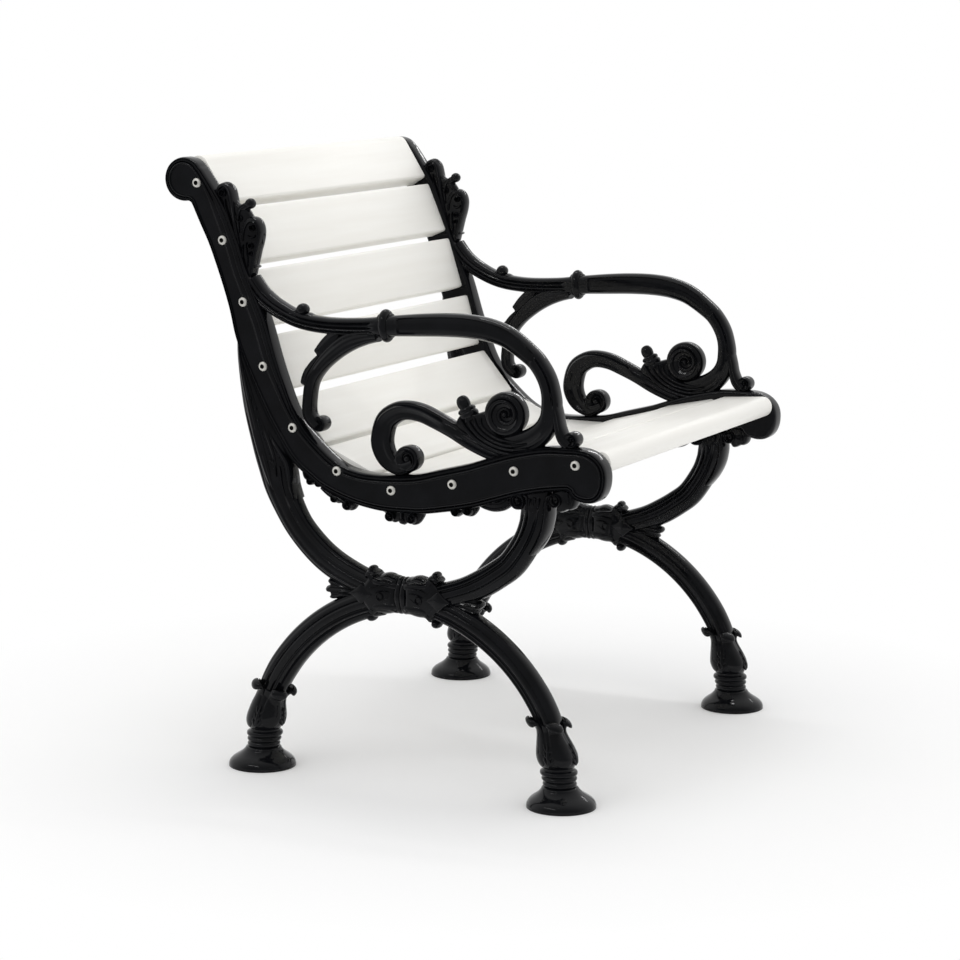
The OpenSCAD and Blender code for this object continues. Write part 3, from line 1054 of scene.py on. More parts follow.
@dataclass
class Legs(CastPart):
    """The crossed legs of one casting, with the scrolled capital under the rail."""

    name: str = "crossed_legs"
    half_depth: float = 15.0
    knot: Point = (-5.5, 253.5)
    reach: float = 40.0
    drop: float = 10.0
    bulge: float = 24.0
    ankle: Point = (204.0, 108.0)

    def lower_line(self, turn: float, half_width: float) -> Tuple[Row, ...]:
        """Draws the arc of a lower leg.

        Args:
            turn: -1 for the rear leg, 1 for the front leg.
            half_width: half the leg's width.

        Returns:
            Its centre line.
        """
        a = Vector((turn * self.reach, self.knot[1] - self.drop))
        b = Vector((turn * self.ankle[0], self.ankle[1]))
        chord = (b - a).length
        side = Vector((turn * (a.y - b.y), turn * (b.x - a.x))) / chord
        radius = (chord * chord / 4 + self.bulge ** 2) / (2 * self.bulge)
        centre = (a + b) / 2 - side * (radius - self.bulge)
        first, last = math.atan2(*(a - centre).yx), math.atan2(*(b - centre).yx)
        points = []
        for k in range(9):
            angle = first + (last - first) * k / 8
            points.append((centre.x + radius * math.cos(angle), centre.y + radius * math.sin(angle),
                half_width))
        (x, y, _), (u, z, _) = points[-2:]
        points[-1] = (u, z, half_width * 0.92)
        points.append((u + (u - x) * 0.4, z + (z - y) * 0.4, half_width * 0.6))
        return tuple(points)

    def shapes(self) -> Sequence:
        """Lists the four legs, the capital and the leaves on the rear leg."""
        rear = (
            (-249, 582, 5, 6), (-243, 548, 10, 9), (-228, 490, 17.5, 10.2), (-208.5, 440, 24.5, 10.6),
            (-198, 411, 25.5, 12), (-190, 384, 23, 14.5), (-177.5, 357, 20.5, 15), (-161, 330.5, 19, 15),
            (-136, 304.5, 19, 15), (-110.5, 286, 19, 15), (-79, 271, 18.5, 15), (-50, 262, 17, 15),
        )
        front = (
            (183, 412, 19, 9.5), (183, 399, 20, 11.5), (183.5, 388, 20.5, 15), (182, 374, 20.5, 15),
            (178.5, 360, 19.5, 15),
            (169.5, 340, 18.5, 15), (150, 311, 18.5, 15), (129, 294, 18.5, 15), (105, 279, 18.5, 15),
            (80, 268, 17, 15),
            (50, 258, 17, 15),
        )
        front_ribs = (
            Flutes((-0.66, -0.36), 0.08, 2.8, start=26.0, fade=20.0),
            Flutes((0.28,), 0.06, 2.4, start=16.0, fade=12.0),
            Flutes((-0.51,), 0.06, -1.0, start=30.0, fade=20.0),
            Flutes((0.16,), 0.05, -0.7, start=30.0, fade=20.0),
        )
        rear_ribs = (
            Flutes((0.66, 0.28), 0.09, 3.0, start=205.0, fade=50.0),
            Flutes((-0.36,), 0.06, 2.2, start=150.0, fade=40.0), Flutes((-0.72,),
                0.05, 1.6, start=80.0, fade=40.0),
        )
        legs = (
            (rear, 2.5, rear_ribs), (front, 2.5, front_ribs),
            (self.lower_line(-1.0, 20.0), 3.0, self.lower_ribs(-1.0)),
            (self.lower_line(1.0, 17.0), 3.0, self.lower_ribs(1.0)),
        )
        return [
            *(Strand(line, self.half_depth, 2.6, spacing, 76, reliefs=ribs) for line, spacing, ribs in legs),
            *self.capital(), *self.rear_leaves(),
        ]

    @staticmethod
    def lower_ribs(turn: float) -> Tuple[Flutes, ...]:
        """Gives the grooves of a lower leg.

        Args:
            turn: -1 for the rear leg, 1 for the front leg.

        Returns:
            The grooves.
        """
        rows = (((-0.62, -0.28), 0.09, 3.0), ((0.3,), 0.06, 2.2), ((0.72,), 0.05, 1.0))
        return tuple(Flutes(tuple(turn * a for a in at), wide, deep) for at, wide, deep in rows)

    def capital(self) -> List:
        """Makes the two volutes on top of the front leg, their stems and the leaf between them."""
        return [
            Curl((160.5, 393), 11.5, 14.6, 1.35, 1.0, 335.0, 0.2, 0.45, 0.19),
            Curl((212, 398), 10.0, 14.6, 1.3, -1.0, 205.0, 0.2, 0.45, 0.19),
            lobe((
                (166, 402, 3, 12), (173, 399, 3.6, 14.4), (175, 388, 3.8, 16), (172.5, 372, 3.6, 16.2),
                (167, 354, 3.2, 16), (157, 335, 2.8, 15.4), (144, 319, 2, 14),
            ), 15.0, -0.6),
            lobe((
                (208, 404, 3, 12), (202, 401, 4, 14.4), (200, 390, 5, 16), (200.5, 377, 5.4, 16.2),
                (197, 358, 5, 16), (189, 340, 4, 15.4), (178, 324, 2.4, 14),
            ), 15.0, -0.6),
            lobe(((184, 402, 4.5), (184, 394, 5.2), (184, 387, 4.2), (184, 381, 2.4)), 15.8, 1.6),
            lobe(((178.5, 400, 2.4), (178, 391, 3), (180, 383, 1.8)), 15.6, 0.6),
            lobe(((190.5, 401, 2.4), (191, 392, 3), (188.5, 384, 1.8)), 15.6, 0.6),
            Knob((184, 381.5), 3.2, 5.0),
            Plate((
                (204, 405), (213, 388), (217, 383), (222, 383.5), (228, 386.5), (233, 387), (238, 391),
                (240, 399),
                (238, 406), (222, 413),
            ), 10.5, 3.0, 2.0),
            Strand(((230, 408, 1.6), (231.5, 400, 1.8), (230, 391, 1.4)), 11.8, 2.2, 1.6, 16),
            Strand(((235, 407, 1.4), (236, 400, 1.6), (234.5, 393, 1.2)), 11.6, 2.2, 1.6, 16),
        ]

    def rear_leaves(self) -> List:
        """Makes the acanthus leaves on the upper part of the rear leg."""
        return [
            lobe((
                (-249, 574, 2.4, 9), (-245.5, 545, 3.6, 11.5), (-236.5, 505, 6, 13), (-225, 462, 8, 13.6),
                (-213, 425, 8.5, 14.6), (-202, 396, 7, 16), (-193, 374, 3, 15.6),
            ), 13.0, 1.2),
            lobe((
                (-244, 548, 2, 10), (-233.5, 516, 3.4, 12), (-222.5, 484, 4.4, 12.4), (-212, 459, 5.4, 13),
                (-202, 437, 6, 13.8), (-195, 419, 5.4, 14.6), (-190, 400, 3, 15.4),
            ), 13.0, 1.4),
            lobe((
                (-207, 462, 2.4, 10), (-197, 443, 4.4, 12.4), (-186, 427, 5.4, 13.4), (-177, 414, 6, 14.4),
                (-173, 399, 5.6, 15.6), (-170, 384, 4, 16), (-163, 366, 2.4, 15.4),
            ), 13.0, 1.0),
            lobe(((-199, 420, 2.4, 14), (-194, 414, 3.4, 15.4), (-191, 405, 3, 16), (-189, 395, 2, 16)),
                15.0, 0.6),
            lobe(((-186, 412, 2.4, 14), (-184, 402, 3.4, 15.8), (-181, 388, 3, 16.2),
                (-175, 370, 2, 15.6)), 15.0, 0.6),
            Knob((-235, 513), 2.4, 5.7), Knob((-228, 498), 2.8, 5.0), Knob((-221.5, 484), 3.2, 4.45),
            Knob((-217.5, 470), 3.4, 4.25), Knob((-198, 417), 3.6, 4.45),
        ]


@dataclass
class Knot(CastPart):
    """The leaf knot that binds the crossed legs."""

    name: str = "leaf_knot"
    middle: Point = (-5.5, 253.5)

    def shapes(self) -> Sequence:
        """Lists the collars, sleeves, leaves, diamonds and knobs."""
        parts: List = [Collar((self.middle[0] + step, self.middle[1]),
            25.0, 3.9, 18.0) for step in (-3.7, 3.7)]
        for turn in (-1.0, 1.0):
            parts += self.half(turn)
        return parts

    def half(self, turn: float) -> List:
        """Makes the sleeve, diamond, leaves and rolled tips on one side of the collars.

        Args:
            turn: -1 for the rear side, 1 for the front side.

        Returns:
            The shapes.
        """
        def side(*rows: Row) -> Tuple[Row, ...]:
            """Places rows that are measured forward from the middle on the wanted side."""
            return tuple((self.middle[0] + turn * r[0], *r[1:]) for r in rows)

        sleeve = side(
            (4, 234), (14, 229), (24, 227), (34, 226.5), (42, 222), (54, 234), (66, 252), (54, 272),
            (42, 285),
            (36, 279), (30, 280.5), (22, 282), (14, 280), (4, 273),
        )
        diamond = side((37, 253), (46, 261), (56, 268.5), (66, 260.5), (76, 252.5), (66, 245), (56, 237.5),
            (46, 245))
        rosette = side(
            (68, 261), (84, 260), (98, 264.5), (108, 267), (111.5, 262.5), (108, 258), (113, 256),
            (115, 251.5),
            (112, 247.5), (107, 246.5), (109, 242), (105, 239), (96, 241.5), (84, 246), (68, 244),
        )
        return [
            Plate(sleeve, 16.8, 10.0, 2.0), Plate(diamond, 18.4, 4.0, 1.2), Plate(rosette, 9.6, 4.0, 1.6),
            lobe(side((2, 265, 6, 16), (14, 267.5, 8, 17.6), (28, 268.5, 8.4, 17.8), (40, 272, 7, 16.6),
                (47, 282, 5, 11)), 16.0, 0.0),
            lobe(side((2, 241, 6, 16), (14, 239.5, 8.6, 17.8), (28, 239, 9, 18), (40, 235.5, 7.4, 16.6),
                (48, 224, 5, 11)), 16.0, 0.0),
            Knob((self.middle[0] + turn * 46.5, 284), 5.4, 2.0), Knob((self.middle[0] + turn * 47.5, 221),
                6.4, 1.9),
            lobe(side((36, 278, 4), (42, 279, 5.4), (47, 279.5, 5.6), (54, 275, 4)), 13.6, 0.0),
            lobe(side((12, 272, 1.6, 16), (22, 273.5, 2.2, 18), (34, 274, 2, 17.4), (42, 278, 1.4, 13)),
                17.0, -0.4),
            lobe(side((12, 266, 1.6, 17), (22, 267, 2.2, 18.8), (34, 265, 2, 18.6), (44, 261, 1.4, 17)),
                17.0, -0.4),
            lobe(side((12, 259, 1.6, 17), (20, 260, 2, 18.6), (29, 258.5, 2, 18.8), (36, 255, 1.4, 18)),
                17.0, -0.4),
            Curl((self.middle[0] + turn * 28, 251.5), 6.4, 18.6, 1.1, turn, 90.0, 0.3),
            lobe(side((8, 253, 2, 16), (16, 252.5, 3, 17.6), (24, 247, 2.6, 17.8), (34, 243, 1.4, 17)),
                17.0, 0.4),
            lobe(side((70, 253, 3), (88, 253, 4.4), (102, 252.4, 4.6), (113, 251.6, 4)), 12.4, 1.4),
            lobe(side((72, 258, 2.5), (88, 258.6, 3.6), (100, 261.4, 4), (109, 263, 3.6)), 11.4, 1.2),
            lobe(side((72, 248, 2.5), (88, 247, 3.6), (99, 244, 4), (107, 242.4, 3.4)), 11.4, 1.2),
        ]


@dataclass(frozen=True)
class Foot:
    """A turned foot: a domed base, a ringed neck and a leaf bulb, leaning towards the middle."""

    turn: float
    shear: float
    shear_from: float = 62.0
    shear_to: float = 104.0
    track: float = 221.0
    lean: float = 0.105
    lean_from: float = 8.0
    bend: float = 0.0029
    bend_from: float = 55.0
    base_top: float = 20.0
    bulb_radius: float = 23.0

    def build(self, bm: BMesh) -> None:
        """Adds the foot to a mesh.

        Args:
            bm: the mesh.
        """
        upright = Matrix.Translation((self.turn * self.track, 0, 0)) @ Matrix.Rotation(math.radians(-90),
            4, "X")
        base = (
            (0.0, 0.0), (20.0, 0.0), (42.5, 0.0), (44.6, 0.7), (45.0, 2.2), (44.7, 4.8), (43.2, 8.0),
            (40.4, 11.2),
            (36.4, 14.2), (31.8, 17.2), (28.0, 20.2), (25.0, 23.4), (23.0, 26.4), (18.0, 27.4), (0.0, 27.4),
        )
        turned(bm, smooth_curve(base, 4), upright, 72)
        stem_place = Matrix.Translation((0, self.base_top, 0)) @ upright
        stem = (
            (0.0, -2.0), (21.0, -2.0), (22.0, 0.6), (22.5, 2.8), (22.2, 4.8), (20.8, 6.4), (20.5, 7.2),
            (21.4, 8.5),
            (22.0, 10.4), (21.6, 12.2), (20.6, 13.4), (20.6, 14.2), (21.8, 15.4), (22.8, 17.2), (22.6, 19.0),
            (21.5, 20.4), (21.6, 21.4), (23.3, 22.8), (24.3, 25.0), (23.8, 27.4), (22.0, 29.0), (20.7, 30.2),
            (20.6, 32.0), (22.3, 35.0), (24.4, 38.6), (25.6, 43.0), (25.3, 48.5), (23.8, 55.5), (21.4, 64.0),
            (18.8, 72.0), (17.2, 79.0), (17.2, 84.0), (16.0, 88.0), (0.0, 88.0),
        )
        turned(bm, smooth_curve(stem, 3), stem_place, 56)
        for quarter in range(4):
            self.leaf(bm, stem_place @ Matrix.Rotation(math.radians(90 * quarter + 45), 4, "Z"))
            self.fern(bm, stem_place @ Matrix.Rotation(math.radians(90 * quarter), 4, "Z"))
        for vert in bm.verts:
            up = vert.co.y
            away = vert.co.x - self.turn * self.track
            fall = self.lean * max(up - self.lean_from, 0.0) + self.bend * max(up - self.bend_from, 0.0) ** 2
            vert.co.y -= self.shear * away * smoothstep(self.shear_from, self.shear_to, up)
            vert.co.x -= self.turn * fall

    def band(self, bm: BMesh, path: Sequence[Row], place: Matrix, count: int) -> None:
        """Adds a small leaf that follows a path in the plane of the axis.

        Args:
            bm: the mesh.
            path: radius, sideways place, height, half width and half thickness of its points.
            place: moves the finished leaf.
            count: how many vertices its section has.
        """
        line = smooth_curve(path, 5)
        rings = []
        for k, point in enumerate(line):
            a, b = line[max(k - 1, 0)], line[min(k + 1, len(line) - 1)]
            heading = Vector((b[0] - a[0], b[1] - a[1], b[2] - a[2])).normalized()
            radial = Vector((point[0], point[1], 0.0)).normalized()
            across = heading.cross(radial).normalized()
            out = across.cross(heading).normalized()
            # the ends taper over three stations
            end = min(k, len(line) - 1 - k) / 3.0
            shrink = max(min(1.0, math.sqrt(max(end, 0.02))), 0.15)
            station = Station(Vector(point[:3]), across, out, point[3] * shrink, point[4] * shrink, 0.0)
            rings.append([place @ self.wrapped(v) for v in ring_of(station, count, 2.2, ())])
        sweep(bm, rings)

    def wrapped(self, point: Vector) -> Vector:
        """Wraps a point of a leaf round the bulb.

        Args:
            point: its radius, its way round the bulb in millimetres and its height.

        Returns:
            The place.
        """
        turn = point.y / self.bulb_radius
        return Vector((point.x * math.cos(turn), point.x * math.sin(turn), point.z))

    def leaf(self, bm: BMesh, place: Matrix) -> None:
        """Adds one of the four leaves whose tip curls over at the top of the bulb.

        Args:
            bm: the mesh.
            place: the leaf's place on the bulb.
        """
        self.band(bm, (
            (21.6, 0, 33.5, 4.0, 1.0), (24.0, 0, 38.5, 9.0, 1.5), (25.2, 0, 44, 12.6, 1.8),
            (24.9, 0, 50, 14.4, 2.0),
            (23.2, 0, 57.5, 15.0, 2.0), (20.8, 0, 65.5, 14.6, 2.1), (18.4, 0, 73, 13.8, 2.3),
            (17.4, 0, 79, 13.0, 2.6),
            (18.2, 0, 84.4, 12.6, 3.3), (20.2, 0, 88.6, 12.2, 4.4), (22.6, 0, 90.0, 11.6, 5.4),
            (24.8, 0, 88.8, 10.6, 5.6),
            (25.4, 0, 86.0, 8.6, 4.6), (24.4, 0, 83.6, 5.4, 3.0),
        ), place, 28)

    def fern(self, bm: BMesh, place: Matrix) -> None:
        """Adds the small leaf with side leaflets that lies between two of the big ones.

        Args:
            bm: the mesh.
            place: its place on the bulb.
        """
        self.band(bm, (
            (25.0, 0, 36.5, 1.4, 1.4), (26.2, 0, 42, 2.2, 1.8), (26.0, 0, 49, 2.4, 2.0),
            (24.2, 0, 57, 1.9, 1.8),
            (21.2, 0, 67, 1.0, 1.2),
        ), place, 14)
        leaflet = ((0.8, 25.6, 0, 1.2), (3.2, 26.2, 4, 1.9), (5.4, 26.0, 8.5, 1.7), (6.2, 25.2, 12, 0.9))
        for slant in (-1.0, 1.0):
            for low in (38.0, 46.0, 54.0):
                rows = []
                for across, radius, rise, half in leaflet:
                    # the bulb narrows above this height
                    reach = radius - max(low + rise - 46.0, 0.0) * 0.25
                    rows.append((reach, across * slant, low + rise, half, 1.5))
                self.band(bm, rows, place, 12)


@dataclass
class Feet(CastPart):
    """The two turned feet of one casting."""

    name: str = "turned_feet"

    def shapes(self) -> Sequence:
        """Lists the rear foot and the front foot, whose leaves follow the slopes of their legs."""
        return (Foot(-1.0, 0.34), Foot(1.0, 0.13))


@dataclass
class LeafWork(CastPart):
    """The crown leaf on the back rail and the curls and swag under the seat rail."""

    name: str = "leaf_work"

    def shapes(self) -> Sequence:
        """Lists the leaves and curls."""
        return [
            *self.crown(), *self.under_rail(), Knob((-156, 617.5), 8.4, 1.3), Knob((-163, 613), 6.0, 1.8),
            lobe(((-190, 616, 4), (-176, 612, 5), (-163, 611, 5.5), (-152, 611, 4)), 11.0),
            lobe(((-150, 612, 4), (-136, 606, 4), (-118, 603, 2.5)), 10.0),
        ]

    def crown(self) -> List:
        """Makes the leaf with curled lobes in front of the back rail."""
        plate = Plate((
            (-284, 752), (-284, 765), (-280, 774), (-272, 779), (-263.5, 777.5), (-258, 769),
            (-256.5, 759), (-252, 752.5),
            (-246, 750), (-240, 749), (-234, 742), (-229, 735.5), (-221, 731), (-217, 721), (-218.5, 706),
            (-223, 691), (-226.5, 675),
            (-229, 655), (-238, 650), (-256, 690), (-272, 722),
        ), 7.0, 4.0, 1.8)
        return [
            plate,
            lobe((
                (-247, 694, 2.4, 9.6), (-252.5, 718, 3.6, 10.8), (-256.5, 740, 4.4, 11.4),
                (-259.5, 757, 4.6, 11.4),
                (-263, 769.5, 4.2, 11.4), (-270.5, 775, 3.8, 11), (-278, 771.5, 3.2, 10.2),
                (-281, 763, 2.6, 9.4),
            ), 10.0, 0.9),
            Curl((-272, 765), 6.0, 10.8, 1.1, -1.0, 60.0, 0.3),
            Strand((
                (-268.5, 758, 1.8, 10.4), (-266.5, 746, 2, 10.8), (-261, 731, 2, 10.6), (-254, 712, 1.5, 9.6),
            ), 10.0, 2.0, 1.5, 18, True, True),
            lobe(((-263, 715, 1.6, 8.4), (-270, 732, 2.6, 9.4), (-277, 748, 3, 9.6),
                (-280.5, 757, 2.4, 9.2)), 9.0, 0.5),
            lobe((
                (-247, 712, 2, 9), (-249, 730, 3, 10.2), (-247, 743, 3.4, 10.6), (-240.5, 749.5, 3.6, 10),
                (-236, 752, 3, 8),
            ), 10.0, 0.6),
            Curl((-247, 733), 5.6, 10.8, 1.15, 1.0, 30.0, 0.28),
            lobe((
                (-242, 702, 2, 9.4), (-241.5, 715, 3, 10.4), (-238, 725.5, 3.8, 11),
                (-230.5, 731.5, 4.2, 11.2),
                (-222.5, 728.5, 4.2, 11), (-218.5, 718.5, 4.4, 10.8), (-219.5, 705, 4.2, 10.6),
                (-223.5, 690, 3.8, 10.4),
                (-227, 674, 3.2, 10), (-230.5, 657, 2.2, 9),
            ), 10.0, 1.2),
            Curl((-227.5, 721), 4.6, 11.6, 1.0, -1.0, 60.0, 0.32),
            lobe(((-235, 712, 1.4), (-230.5, 708.5, 2.4), (-225, 709.5, 2.2), (-221, 713, 1.2)), 11.0, 0.3),
            Curl((-229.5, 697.5), 4.2, 11.2, 1.0, -1.0, 60.0, 0.3),
            Curl((-230, 687.5), 3.4, 10.8, 1.0, -1.0, 60.0, 0.3),
            Strand(((-235.5, 703, 1.4), (-236, 692, 1.8), (-234.5, 680, 1.8), (-235, 668, 1.2)),
                10.4, 2.0, 1.5, 16, True, True),
            Strand(((-241, 700, 1.2), (-242, 685, 1.8), (-240, 668, 1.4)), 9.8, 2.0, 1.5, 16, True, True),
            lobe(((-229, 674, 3), (-225, 670.5, 2.6), (-221, 670.5, 1.2)), 8.4, 0.4),
            Knob((-234, 752), 7.0, 1.25), lobe(((-250, 743, 4), (-243, 746, 5), (-236, 750, 5.4),
                (-233, 752, 5)), 8.6, 0.0),
        ]

    def under_rail(self) -> List:
        """Makes the curls, stems and folds that hang under the seat rail."""
        curls = (
            (-141, 394, 5.6, 1), (-128.5, 392.5, 6, -1), (-105, 374, 6, 1), (-86, 367, 7.6, -1),
            (-23, 357.5, 7.4, 1), (8, 357.5, 8, -1), (72, 371.5, 6.6, 1), (89, 375, 7.6, -1),
        )
        parts: List = [Curl((u, z), r, 12.2, 1.05, turn, 90.0, 0.26) for u, z, r, turn in curls]
        parts += [
            Knob((-7, 353), 6.0, 1.7),
            lobe(((-7, 366, 3), (-7, 360, 3.6), (-7, 354, 3)), 11.6, 0.8),
            lobe(((-36, 368, 2), (-30, 364, 3), (-20, 366, 3.4), (-10, 368, 2)), 10.8, 0.6),
            lobe(((22, 368, 2), (15, 365, 3), (6, 366, 3.4), (-4, 368, 2)), 10.8, 0.6),
            Plate((
                (-154, 410), (-151.5, 402), (-150.5, 395), (-147.5, 389.5), (-142, 387.5), (-136, 389.5),
                (-131, 386.5),
                (-126, 386.5), (-120, 391), (-136, 402),
            ), 7.0, 4.0, 2.0),
            Plate((
                (-130, 393), (-124, 383), (-115, 375), (-110, 369), (-102, 366.5), (-97, 367), (-92, 361),
                (-84, 358.5),
                (-77, 362), (-74, 371), (-85, 379), (-106, 387),
            ), 7.0, 4.0, 2.0),
            Plate((
                (-36, 367), (-28, 354), (-20, 348.5), (-12, 350.5), (-6, 346.5), (1, 350.5), (9, 347.5),
                (18, 352),
                (24, 365), (10, 370), (-15, 370),
            ), 6.6, 4.0, 2.0),
            Plate((
                (58, 374), (65, 366), (73, 364), (80, 369), (86, 366), (95, 367.5), (101, 379), (84, 388),
                (66, 383),
            ), 6.6, 4.0, 2.0),
            lobe(((-152, 407, 2.4), (-149, 399, 3), (-144, 396, 3), (-137, 396, 2)), 10.6, 0.6),
            lobe(((-126, 388, 3), (-112, 379, 5), (-98, 374, 5), (-86, 368, 4)), 12.0, 1.2),
            lobe(((60, 376, 3), (74, 376, 4), (88, 379, 4), (100, 384, 3)), 10.4, 1.0),
            Plate(((94, 391), (104, 380), (123, 375), (141, 379), (150, 391), (125, 401)), 8.0, 3.0, 2.0),
            lobe(((96, 392, 2), (106, 383, 3), (122, 379, 3.2), (138, 382, 3), (148, 390, 2)), 9.6, 0.5),
            lobe(((98, 398, 2), (108, 390, 3), (122, 386.5, 3.2), (136, 389, 3), (146, 396, 2)), 9.8, 0.5),
            lobe(((102, 402, 2), (112, 396, 3), (123, 394, 3), (134, 396, 3), (142, 402, 2)), 10.0, 0.5),
        ]
        return parts


@dataclass
class Slats:
    """The ten painted slats, each with rounded edges."""

    length: float = 564.0
    width: float = 75.0
    thick: float = 28.0
    edge: float = 4.0
    edge_steps: int = 6
    nose: float = 13.5
    nose_steps: int = 14
    end_edge: float = 0.7
    names: Tuple[str, ...] = (
        "back_slat_1", "back_slat_2", "back_slat_3", "back_slat_4", "curved_slat_5", "curved_slat_6",
        "seat_slat_7", "seat_slat_8", "seat_slat_9", "front_seat_slat_10",
    )

    def make(self, shop: Workshop) -> None:
        """Builds and places each slat.

        Args:
            shop: makes the pieces.
        """
        for k, (node, (forward, up, turn)) in enumerate(zip(self.names, SLAT_PLACES)):
            bm = self.blank(k in (0, len(self.names) - 1))
            side_view = Matrix.Translation((forward, up, 0.0)) @ Matrix.Rotation(math.radians(turn), 4, "Z")
            place = side_view_matrix(-1.0, 0.0) @ side_view
            shop.piece(f"painted_{node}", bm, place, Finish.WOOD, [node], 50.0)
            bm.free()

    @staticmethod
    def round_off(bm: BMesh, edges: Sequence[bmesh.types.BMEdge], radius: float, steps: int) -> None:
        """Rounds edges.

        Args:
            bm: the mesh.
            edges: the edges.
            radius: how far the rounding goes.
            steps: how many faces it has across.
        """
        bmesh.ops.bevel(
            bm, geom=edges, offset=radius, offset_type="OFFSET", segments=steps, profile=0.5, affect="EDGES",
            material=-1, clamp_overlap=True,
        )

    def blank(self, nosed: bool) -> BMesh:
        """Makes one slat about its own middle, with its length along Z.

        Args:
            nosed: whether its front edges have the large radius.

        Returns:
            The mesh.
        """
        bm = bmesh.new()
        bmesh.ops.create_cube(bm, size=1.0)
        bmesh.ops.scale(bm, vec=(self.width, self.thick, self.length), verts=bm.verts[:])
        along = [e for e in bm.edges if abs(e.verts[0].co.z - e.verts[1].co.z) > 1.0]
        front = [e for e in along if e.verts[0].co.x > 0]
        rear = [e for e in along if e.verts[0].co.x < 0]
        if nosed:
            self.round_off(bm, front, self.nose, self.nose_steps)
        else:
            self.round_off(bm, front, self.edge, self.edge_steps)
        self.round_off(bm, rear, self.edge, self.edge_steps)
        ends = [
            e for e in bm.edges
            if abs(abs(e.verts[0].co.z) - self.length / 2) < 1e-3
            and abs(e.verts[0].co.z - e.verts[1].co.z) < 1e-3
        ]
        self.round_off(bm, ends, self.end_edge, 2)
        for face in bm.faces:
            face.smooth = True
        return bm


@dataclass
class Screws:
    """The button head screws with their hexagon sockets."""

    seat: float = 11.0
    length: float = 45.0
    shank: float = 3.0
    head: float = 6.35
    height: float = 3.3
    socket: float = 4.0
    socket_depth: float = 2.2
    segments: int = 36
    turn_step: float = 17.0

    def single(self) -> BMesh:
        """Makes one screw about its own seat, with its axis along Z.

        Returns:
            The mesh.
        """
        bm = bmesh.new()
        profile = (
            (0.0, -self.length), (self.shank - 0.5, -self.length), (self.shank, -self.length + 0.7),
            (self.shank, 0.0), (self.head - 0.25, 0.0), (self.head, 0.25), (self.head, 0.95),
            (self.head * 0.975, 1.4), (self.head * 0.9, 1.95), (self.head * 0.78, 2.55),
            (self.head * 0.62, 3.0),
            (self.head * 0.48, self.height),
        )
        turned(bm, profile, Matrix(), self.segments)
        lip = sorted(
            (v for v in bm.verts if abs(v.co.z - self.height) < 1e-4),
            key=lambda v: math.atan2(v.co.y, v.co.x)
        )
        floor = self.height - self.socket_depth
        cone = [Vector((v.co.x * 0.9, v.co.y * 0.9, 0.0)) for v in lip]
        wall = []
        for vert in lip:
            angle = math.atan2(vert.co.y, vert.co.x)
            reach = self.socket / 2 / math.cos((angle + math.pi / 6) % (math.pi / 3) - math.pi / 6)
            wall.append(Vector((reach * math.cos(angle), reach * math.sin(angle), 0.0)))
        before = set(bm.faces)
        ring = extrude_ring(bm, lip, [Vector((c.x, c.y, self.height - 0.35)) for c in cone])
        for depth, share in ((self.height - 0.9, 1.0), (floor, 0.97)):
            ring = extrude_ring(bm, ring, [Vector((w.x * share, w.y * share, depth)) for w in wall])
        bmesh.ops.contextual_create(bm, geom=ring_edges(bm, ring))
        for face in bm.faces:
            face.smooth = True
            # the socket's faces take the second slot, a near-black metal that paints shade into the socket
            if face not in before:
                face.material_index = 1
        return bm

    def make(self, shop: Workshop) -> None:
        """Builds the screws of both castings.

        Args:
            shop: makes the pieces.
        """
        single = self.single()
        scratch = bpy.data.meshes.new("scratch_screw")
        for side in Side:
            bm = bmesh.new()
            for k, (forward, up, _) in enumerate(SLAT_PLACES):
                copy = single.copy()
                turn = Matrix.Rotation(math.radians(self.turn_step * k), 4, "Z")
                place = Matrix.Translation((forward, up, self.seat)) @ turn
                bmesh.ops.transform(copy, matrix=place, verts=copy.verts[:])
                copy.to_mesh(scratch)
                bm.from_mesh(scratch)
                copy.free()
            name, nodes = f"{side.value}_button_screws", [f"{side.value}_slat_screws"]
            shop.piece(name, bm, casting_matrix(side), Finish.STEEL, nodes, 32.0, True)
            bm.free()
        bpy.data.meshes.remove(scratch)
        single.free()


